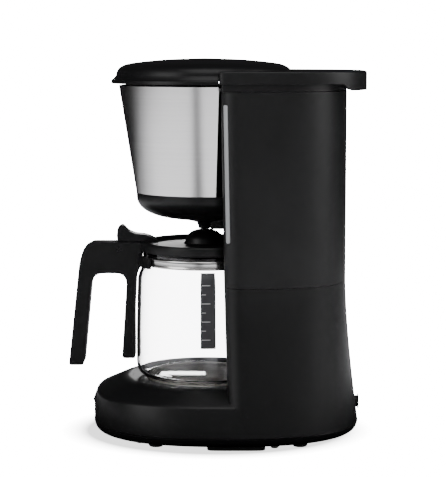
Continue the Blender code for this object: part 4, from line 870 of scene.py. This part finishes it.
def handle(edge):
    """Handle: top arm, long outer grip, short inner leg and the collar round the strap."""
    neck, belly = HEAD_Y - JUG_NECK[0] + 1.0, HEAD_Y - JUG_RADIUS - 0.9
    shoulder = HEAD_Y - JUG_SHOULDER[0] - 0.9
    f, low, high = HANDLE_FRONT, HANDLE_BOTTOM, HANDLE_TOP
    outline = rounded([(neck, high), (-103.0, high, 1.0), (-110.6, high - 3.6, 8.0),
                       (-114.6, high - 16.0, 8.0),
                       (f, low + 1.2, 1.0), (f + 1.2, low, 1.0), (f + 11.5, low, 1.2),
                       (f + 13.0, low + 2.5, 1.5),
                       (-104.6, 127.0, 8.0), (-101.5, 132.6, 5.0), (-97.0, 134.4, 3.0), (-82.0, 134.4, 3.0),
                       (-77.2, 132.4, 3.0), (-75.2, 127.0, 3.0), (-79.4, 64.0, 1.0), (-78.0, 62.4, 1.0),
                       (belly - 0.4, 62.4, 1.0), (belly, 64.0, 1.0), (belly, 104.0, 6.0),
                       (shoulder, JUG_SHOULDER[1], 2.6),
                       (HEAD_Y - JUG_SHOULDER_TOP[0] - 0.9, JUG_SHOULDER_TOP[1], 2.0),
                       (HEAD_Y - JUG_NECK[0] - 1.4, JUG_NECK[1], 1.0),
                       (neck, JUG_NECK[1] + 1.4)])
    item = extruded("handle_grip", outline, -9.5, 9.5, "black_plastic")
    inner = JUG_NECK[0] + 2.0 * GAP + 0.8 + 0.5
    collar = [arc_strip(inner + 2.5, inner - 1.5, -125.0, -55.0, z, 40) for z in (STRAP[0] - 1.5,
                                                                                  STRAP[1] + 0.6)]
    combine(item, skin("add_collar", collar), "UNION")
    room = [circle(inner, z) for z in (JUG_NECK[1] - 1.0, JUG_LID_TOP + 4.0)]
    combine(item, skin("cut_neck", room), "DIFFERENCE")
    room = [circle(JUG_LID_RADIUS + GAP, z) for z in (JUG_RIM, JUG_LID_TOP + 4.0)]
    combine(item, skin("cut_lid_room", room), "DIFFERENCE")
    y, z = THUMB_HINGE
    combine(item, block("cut_slot", (-4.6, y - 5.0, z - 5.5), (4.6, -60.0, JUG_LID_TOP + 4.0)), "DIFFERENCE")
    combine(item, pin("cut_thumb_hinge", 1.8, -12.0, 12.0, y, z), "DIFFERENCE")
    return settle(item, edge)


def jug_lid(edge):
    """Jug lid: ring, sunk top with a drip dome, skirt, tongue and thumb lever."""
    low, high, skirt = JUG_RIM + GAP, JUG_LID_TOP, JUG_NECK[0] - 2.2 - 1.9
    profile = [(0.0, DOME_TOP), (6.4, DOME_TOP - 0.4, 3.0), (11.8, DOME_TOP - 2.6, 2.6),
               (15.4, DOME_TOP - 6.4, 2.6),
               (16.8, 158.9, 1.6), (44.0, 158.5, 2.0), (48.0, high - 0.2, 1.6),
               (JUG_LID_RADIUS - 1.2, high, 1.0),
               (JUG_LID_RADIUS, high - 1.4, 0.8), (JUG_LID_RADIUS, low, 0.4), (skirt, low),
               (skirt, JUG_RIM - 7.0, 0.4),
               (skirt - 1.8, JUG_RIM - 7.0), (skirt - 1.8, 156.4), (14.6, 156.4), (12.6, 163.0), (9.0, 166.0),
               (0.0, DOME_TOP - 2.4)]
    item = turned("jug_cover", profile, "black_plastic")
    y, z = THUMB_HINGE
    lever = rounded([(y - 0.6, HANDLE_TOP + 0.5, 0.5), (y - 1.6, 165.0, 2.0), (y - 0.8, 172.5, 1.6),
                     (y + 2.8, 175.0, 1.6),
                     (y + 4.8, 173.7, 1.4), (y + 8.2, 170.0, 2.2), (y + 14.0, 167.5, 3.0),
                     (y + 22.5, 166.8, 3.0),
                     (y + 27.5, 165.0, 2.4), (y + 31.5, 162.6, 2.0), (y + 33.0, 159.8), (y + 26.0, 159.8),
                     (y + 24.0, HANDLE_TOP + 0.5)])
    combine(item, extruded("add_lever", lever, -7.0, 7.0), "UNION")
    tongue_side = [(y + 4.0, z - 3.5), (y + 4.0, 163.0), (y - 0.4, 163.0)]
    for step in range(9):
        a = math.pi + 0.5 * math.pi * step / 8
        tongue_side.append((y + 3.6 * math.cos(a), z + 3.6 * math.sin(a)))
    combine(item, extruded("add_tongue", tongue_side, -4.2, 4.2), "UNION")
    combine(item, pin("cut_tongue", 1.8, -9.0, 9.0, y, z), "DIFFERENCE")
    return settle(item, edge)


# ---- settings ----------------------------------------------------------------------------
def colour(name, description, value):
    """A colour setting."""
    return bpy.props.FloatVectorProperty(name=name, description=description, default=value, size=3, min=0.0,
                                         max=1.0, subtype="COLOR")


class CoffeeLooks(bpy.types.PropertyGroup):
    """Colours and surfaces of the machine."""

    black: colour("Black plastic", "Base, lid, handle and funnel", (0.0065, 0.0065, 0.0070))
    satin: colour("Satin plastic", "Tank housing and top frame", (0.0085, 0.0085, 0.0090))
    steel: colour("Brushed steel", "Panel round the brew head", (0.70, 0.695, 0.69))
    bright: colour("Bright steel", "Hot plate and neck strap", (0.72, 0.71, 0.70))
    plate: colour("Hot plate", "Warming plate under the jug", (0.93, 0.90, 0.84))
    glass: colour("Glass", "Tint of the jug", (0.985, 0.98, 0.99))
    window: colour("Level window", "Window of the water tank", (0.42, 0.43, 0.44))
    gloss: bpy.props.FloatProperty(name="Plastic roughness", description="Roughness of the black plastic",
                                   default=0.34, min=0.05, max=0.9, subtype="FACTOR")


class CoffeeSizes(bpy.types.PropertyGroup):
    """Sizes that can be changed without moving a joint."""

    edge: bpy.props.FloatProperty(name="Edge rounding", description="Rounding of the moulded edges",
                                  default=0.0004,
                                  min=0.0, max=0.0008, unit="LENGTH", precision=5)
    handle_edge: bpy.props.FloatProperty(name="Handle rounding", description="Rounding of the grip's edges",
                                         default=0.0012, min=0.0, max=0.002, unit="LENGTH", precision=5)
    tick: bpy.props.FloatProperty(name="Tick thickness", description="Thickness of the marks on the cup scale",
                                  default=0.0007, min=0.0003, max=0.0015, unit="LENGTH", precision=5)


class CoffeeStage(bpy.types.PropertyGroup):
    """Floor and light."""

    floor: colour("Floor", "Colour of the floor", (0.86, 0.86, 0.87))
    surround: bpy.props.FloatProperty(name="Surround", description="Brightness of the room in reflections",
                                      default=0.3, min=0.0, max=4.0)
    key: bpy.props.FloatProperty(name="Softboxes", description="Power of the softboxes", default=9.0, min=0.0,
                                 max=200.0)
    pool: bpy.props.FloatProperty(name="Light pools", description="Light on the floor that the steel mirrors",
                                  default=0.44, min=0.0, max=6.0)


# ---- operators ---------------------------------------------------------------------------
class COFFEE_OT_base(bpy.types.Operator):
    """Build the base moulding, its pan and its gland"""

    bl_idname = "coffee.base"
    bl_label = "Base"

    def execute(self, context):
        edge = context.scene.coffee_sizes.edge / MM
        place(base_shell(edge), "machine", "base_shell")
        place(base_pan(), "machine", "base_plate")
        rear = BASE_Y + BASE_HALF_LENGTH
        gland = rear_tube("lead_bush", rounded([(5.0, rear - 6.0), (5.0, rear + 0.2), (6.6, rear + 0.3, 0.1),
                                                (6.2, rear + 0.9, 0.3), (3.4, rear + 0.9, 0.3),
                                                (3.4, rear - 6.0)]),
                          "rubber", closed=True)
        place(gland, "machine", "cord_gland")
        return {"FINISHED"}


class COFFEE_OT_feet(bpy.types.Operator):
    """Build the round feet and the long side feet"""

    bl_idname = "coffee.feet"
    bl_label = "Feet"

    def execute(self, context):
        for label, x, y in (("front_left", -62.0, -49.0), ("front_right", 62.0, -49.0),
                            ("rear_left", -62.0, 68.0),
                            ("rear_right", 62.0, 68.0)):
            foot = turned(f"pad_{label}", [(0.0, 0.3), (4.4, 0.3, 0.4), (4.9, 0.0, 0.3), (5.3, 0.0, 0.4),
                                           (6.2, 1.2, 0.8),
                                           (6.2, 4.0), (0.0, 4.0)], "rubber", SMALL, x, y)
            place(foot, "machine", f"foot_{label}")
        for label, sign in (("left", -1), ("right", 1)):
            rows = [superellipse(5.0 - inset, 23.5 - inset, z, 64, 16.0, 5.0, sign * 76.0)
                    for inset, z in ((1.2, 0.0), (0.5, 0.3), (0.0, 1.2), (0.0, 4.0))]
            place(skin(f"pad_side_{label}", rows, "rubber"), "machine", f"foot_side_{label}")
        return {"FINISHED"}


class COFFEE_OT_switch(bpy.types.Operator):
    """Build the power switch: housing and rocker"""

    bl_idname = "coffee.switch"
    bl_label = "Switch"

    def execute(self, context):
        front = BASE_Y - BASE_HALF_LENGTH + 0.4
        low, high = SWITCH_HEIGHT - 7.8, SWITCH_HEIGHT + 7.8
        housing = block("switch_frame", (-11.0, front, low), (11.0, front + 16.0, high), "black_plastic")
        pocket = block("cut_pocket", (-9.6, front - 4.0, SWITCH_HEIGHT - 6.4),
                       (9.6, front + 9.5, SWITCH_HEIGHT + 6.4))
        combine(housing, pocket, "DIFFERENCE")
        place(settle(housing, 0.4), "machine", "switch_housing")
        axis, tilt = (front + 2.6, SWITCH_HEIGHT), math.radians(7.0)
        outline = []
        for y, z in rounded([(-3.3, 5.0, 0.5), (-1.9, 0.0, 3.0), (-3.3, -5.0, 0.5), (2.0, -5.0, 1.0),
                             (5.0, -2.5),
                             (5.0, 2.5), (2.0, 5.0, 1.0)]):
            outline.append((axis[0] + y * math.cos(tilt) - z * math.sin(tilt),
                            axis[1] + y * math.sin(tilt) + z * math.cos(tilt)))
        rocker = settle(extruded("rocker_cap", outline, -9.3, 9.3, "satin_plastic"), 0.35)
        place(rocker, "rocker", "switch_rocker")
        return {"FINISHED"}


class COFFEE_OT_hotplate(bpy.types.Operator):
    """Build the hot plate"""

    bl_idname = "coffee.hotplate"
    bl_label = "Hot plate"

    def execute(self, context):
        r, top, lip = HOTPLATE_RADIUS, HOTPLATE_TOP, 41.4
        profile = [(0.0, top), (r - 1.2, top, 0.6), (r, top - 1.2, 0.8), (r, lip), (r - 1.5, lip),
                   (r - 1.5, top - 1.5, 0.6),
                   (0.0, top - 1.5)]
        plate = turned("warming_plate", profile, "bright_steel")
        plate.data.materials[0] = metal("plate_steel", context.scene.coffee_looks.plate, 0.46, 240.0)
        place(plate, "machine", "hotplate")
        return {"FINISHED"}


class COFFEE_OT_column(bpy.types.Operator):
    """Build the tank housing and its level window"""

    bl_idname = "coffee.column"
    bl_label = "Tank housing"

    def execute(self, context):
        edge = context.scene.coffee_sizes.edge / MM
        housing = skin("column_housing", housing_rows(), "satin_plastic", closed=True)
        combine(housing, window_tool("cut_window", WINDOW_HALF_WIDTH + GAP, GAP), "DIFFERENCE")
        place(settle(housing, edge), "machine", "tank_housing")
        window = skin("window_strip", housing_rows(), "clear_plastic", closed=True)
        combine(window, window_tool("limit_window", WINDOW_HALF_WIDTH, 0.0), "INTERSECT")
        place(settle(window, 0.2), "machine", "level_window")
        return {"FINISHED"}


class COFFEE_OT_head(bpy.types.Operator):
    """Build the brew head: steel panel, wall, funnel, basket and drip stop"""

    bl_idname = "coffee.head"
    bl_label = "Brew head"

    def execute(self, context):
        panel = head_strip("steel_cladding", HEAD_BOTTOM, STEEL_TOP, 0.0, STEEL_THICKNESS, "brushed_steel")
        place(settle(panel, 0.25), "machine", "steel_panel")
        wall = head_strip("head_moulding", HEAD_BOTTOM, COLUMN_TOP, STEEL_THICKNESS + GAP, WALL,
                          "black_plastic")
        place(wall, "machine", "head_wall")
        place(funnel(), "machine", "brew_funnel")
        place(basket(), "machine", "filter_basket")
        drip_stop()
        return {"FINISHED"}


class COFFEE_OT_top(bpy.types.Operator):
    """Build the top frame and the lid of the brew head"""

    bl_idname = "coffee.top"
    bl_label = "Top frame and lid"

    def execute(self, context):
        edge = context.scene.coffee_sizes.edge / MM
        place(top_frame(edge), "machine", "top_frame")
        place(lid(edge), "brew_lid", "lid")
        return {"FINISHED"}


class COFFEE_OT_jug(bpy.types.Operator):
    """Build the glass jug with its strap, handle and lid"""

    bl_idname = "coffee.jug"
    bl_label = "Jug"

    def execute(self, context):
        sizes = context.scene.coffee_sizes
        place(jug_glass(), "jug", "jug_glass")
        place(strap(), "jug", "jug_strap")
        place(handle(sizes.handle_edge / MM), "jug", "jug_handle")
        place(jug_lid(sizes.edge / MM), "jug", "jug_lid")
        return {"FINISHED"}


class COFFEE_OT_scale(bpy.types.Operator):
    """Print the cup scale on the jug: a dark stripe with pale ticks"""

    bl_idname = "coffee.scale"
    bl_label = "Cup scale"

    def execute(self, context):
        thick = context.scene.coffee_sizes.tick / MM
        ink = plastic("scale_ink", (0.045, 0.045, 0.05), 0.4, 0.003)
        pale = plastic("scale_marks", (0.55, 0.55, 0.56), 0.4, 0.003)
        near, far, low, high = -2.8, 9.6, 79.0, 140.5
        middle, half, corner = 0.5 * (near + far), 0.5 * (far - near), 0.8
        edges = []
        for step in range(7):
            a = 0.5 * math.pi * step / 6
            wide = half - corner * (1.0 - math.sin(a))
            edges.append((low + corner * (1.0 - math.cos(a)), middle - wide, middle + wide))
        edges += [(blend(low + corner, high, step / 30), near, far) for step in range(1, 31)]
        place(print_patch("scale_stripe", edges, 0.03, 0.08, ink), "jug")
        for index in range(7):
            z = 86.0 + 7.4 * index
            right = near + (8.0 if index % 2 == 0 else 4.4)
            edges = [(z, near + 1.2, right), (z + thick, near + 1.2, right)]
            place(print_patch(f"scale_tick_{index + 1}", edges, 0.13, 0.05, pale), "jug")
        return {"FINISHED"}


class COFFEE_OT_insides(bpy.types.Operator):
    """Finish the pieces inside the machine that keep the frame's shapes"""

    bl_idname = "coffee.insides"
    bl_label = "Insides"

    def execute(self, context):
        slots = {"milky_plastic": ("water_tank", "check_valve"), "bright_steel": ("check_ball",),
                 "silicone": ("cold_hose", "riser_hose"), "satin_plastic": ("outlet_spout", "jug_lid_pin"),
                 "rubber": ("hotplate_gasket",),
                 "aluminium": ("heater_tube", "thermostat"), "clear_plastic": ("thermal_fuse",),
                 "plated_steel": ("heater_clamp", "hose_clamp_1", "hose_clamp_2", "drip_stop_spring",
                                  "lid_hinge_pin",
                                  "base_screw_1", "base_screw_2", "base_screw_3", "base_screw_4")}
        for slot, nodes in slots.items():
            for node in nodes:
                repaint(node, slot)
        return {"FINISHED"}


class COFFEE_OT_stage(bpy.types.Operator):
    """Set up the floor, the soft light and the camera"""

    bl_idname = "coffee.stage"
    bl_label = "Stage"

    def execute(self, context):
        settings = context.scene.coffee_stage
        floor_rows = [circle(radius, 0.0, 96, 0.0, BASE_Y) for radius in (6000.0, 1500.0, 400.0, 200.0,
                                                                          100.0)]
        floor = skin("floor", floor_rows)
        floor.data.materials.append(floor_finish(settings.floor, settings.pool))
        room(context.scene, settings.surround)
        power = settings.key
        softbox("softbox_rear", (0.35, 1.25, 0.75), 0.8, 1.2, power * 1.2)
        softbox("softbox_front", (0.9, -1.15, 0.70), 0.9, 1.3, power)
        softbox("softbox_top", (0.7, 0.1, 1.5), 1.0, 1.0, power * 0.8)
        softbox("softbox_low", (-1.0, -0.075, 0.285), 0.11, 0.05, power * 0.03)
        lens = bpy.data.cameras.new("camera")
        lens.lens = 1678.0 / 477.0 * 36.0
        lens.sensor_width = 36.0
        view = bpy.data.objects.new("camera", lens)
        view.location = (1.400, 0.0054, 0.3242)
        view.rotation_euler = (math.radians(90.0 - 6.578), 0.0, math.radians(90.0))
        context.scene.collection.objects.link(view)
        context.scene.camera = view
        return {"FINISHED"}


def straight_view(f):
    """1 for what is seen directly or through glass, 0 for what only lights or is mirrored."""
    paths = f.node("ShaderNodeLightPath")
    seen = Number(f, paths.outputs["Is Camera Ray"]).larger(Number(f, paths.outputs["Is Transmission Ray"]))
    plain = Number(f, paths.outputs["Diffuse Depth"]).under(0.5)
    return seen * plain * Number(f, paths.outputs["Glossy Depth"]).under(0.5)


def floor_finish(tone, pool):
    """Pale floor: plain white away from the machine, with painted shade round the base where the white glow
    fades out, and pools of light that its steel mirrors.
    """
    f = Finish("floor")
    place_at = f.node("ShaderNodeTexCoord").outputs["Object"]
    away = Number(f, f.node("ShaderNodeVectorMath", {"operation": "LENGTH"}, {0: place_at}).outputs["Value"])
    axes = f.node("ShaderNodeSeparateXYZ", None, {0: place_at})
    x, y = Number(f, axes.outputs["X"]), Number(f, axes.outputs["Y"])
    ring = f.spread(away, 0.28, 0.42) * (1.0 - f.spread(away, 0.95, 1.3))
    gap = f.spread((y + x * 0.19).size(), 0.03, 0.12)
    side = f.spread(x, -0.45, 0.15) * 0.65 + 0.35
    light = ring * (gap * 0.9 + 0.1) * side * pool
    f.set(Base_Color=(*tone, 1.0), Roughness=0.9, Emission_Color=f.mix(light, (0.0, 0.0, 0.0, 1.0),
                                                                       (1.0,) * 4),
          Emission_Strength=1.0)
    # Painted shade round the base: the white glow fades out towards the base's outline, so the floor next to
    # it shows only the lamps' light and its real shadow, darker than the white floor beyond.
    outline = f.node("ShaderNodeVectorMath", {"operation": "MULTIPLY"}, {0: place_at, 1: (11.0, 9.0, 0.0)})
    reach = f.node("ShaderNodeVectorMath", {"operation": "LENGTH"}, {0: outline.outputs[0]})
    painted_shade_ramp = f.spread(Number(f, reach.outputs["Value"]), 0.98, 1.24)
    glow = f.node("ShaderNodeEmission", None, {"Color": (1.0, 1.0, 1.0, 1.0), "Strength": 20.0})
    mixed = f.node("ShaderNodeMixShader", None, {0: straight_view(f) * (painted_shade_ramp * 0.9 + 0.1),
                                                 1: f.shader.outputs[0],
                                                 2: glow.outputs[0]})
    f.tree.links.new(mixed.outputs[0], f.tree.nodes["Material Output"].inputs["Surface"])
    return f.material


class Surround(Finish):
    """Nodes of the room round the machine."""

    def __init__(self, name):
        self.material = bpy.data.worlds.new(name)
        self.material.use_nodes = True
        self.tree = self.material.node_tree
        self.shader = self.tree.nodes["Background"]


def room(scene, surround):
    """White surround behind the machine; its light comes from the +X side."""
    f = Surround("room")
    toward = f.node("ShaderNodeSeparateXYZ", None, {0: f.node("ShaderNodeTexCoord").outputs["Generated"]})
    side = f.spread(Number(f, toward.outputs["X"]), -0.35, 0.45) * 0.92 + 0.08
    light = side * surround
    f.set(Color=(1.0, 1.0, 1.0, 1.0), Strength=light)
    white = f.node("ShaderNodeBackground", None, {"Color": (1.0, 1.0, 1.0, 1.0), "Strength": 20.0})
    mixed = f.node("ShaderNodeMixShader", None, {0: straight_view(f), 1: f.shader.outputs[0],
                                                 2: white.outputs[0]})
    f.tree.links.new(mixed.outputs[0], f.tree.nodes["World Output"].inputs["Surface"])
    scene.world = f.material


def softbox(name, location, width, height, power):
    """Rectangular light that faces the middle of the machine."""
    light = bpy.data.lights.new(name, "AREA")
    light.shape = "RECTANGLE"
    light.size = width
    light.size_y = height
    light.energy = power
    item = bpy.data.objects.new(name, light)
    item.location = location
    toward = Vector((0.0, 0.0, 0.16)) - Vector(location)
    item.rotation_euler = toward.to_track_quat("-Z", "Y").to_euler()
    bpy.context.scene.collection.objects.link(item)


STEPS = (COFFEE_OT_base, COFFEE_OT_feet, COFFEE_OT_switch, COFFEE_OT_hotplate, COFFEE_OT_column,
         COFFEE_OT_head,
         COFFEE_OT_top, COFFEE_OT_jug, COFFEE_OT_scale, COFFEE_OT_insides, COFFEE_OT_stage)
GROUPS = {"coffee_looks": CoffeeLooks, "coffee_sizes": CoffeeSizes, "coffee_stage": CoffeeStage}


class COFFEE_PT_panel(bpy.types.Panel):
    """Settings and steps of the coffee maker"""

    bl_label = "Coffee Maker"
    bl_idname = "COFFEE_PT_panel"
    bl_space_type = "VIEW_3D"
    bl_region_type = "UI"
    bl_category = "Coffee Maker"

    def draw(self, context):
        for attribute, group in GROUPS.items():
            box = self.layout.box()
            for key in group.__annotations__:
                box.prop(getattr(context.scene, attribute), key)
        for step in STEPS:
            self.layout.operator(step.bl_idname)


def register():
    for group in GROUPS.values():
        bpy.utils.register_class(group)
    for attribute, group in GROUPS.items():
        setattr(bpy.types.Scene, attribute, bpy.props.PointerProperty(type=group))
    for step in STEPS:
        bpy.utils.register_class(step)
    bpy.utils.register_class(COFFEE_PT_panel)


def unregister():
    bpy.utils.unregister_class(COFFEE_PT_panel)
    for step in reversed(STEPS):
        bpy.utils.unregister_class(step)
    for attribute, group in GROUPS.items():
        delattr(bpy.types.Scene, attribute)
        bpy.utils.unregister_class(group)


def main():
    """Build the whole machine."""
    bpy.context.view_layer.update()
    register()
    for step in STEPS:
        group, name = step.bl_idname.split(".")
        getattr(getattr(bpy.ops, group), name)()


if __name__ == "__main__":
    main()
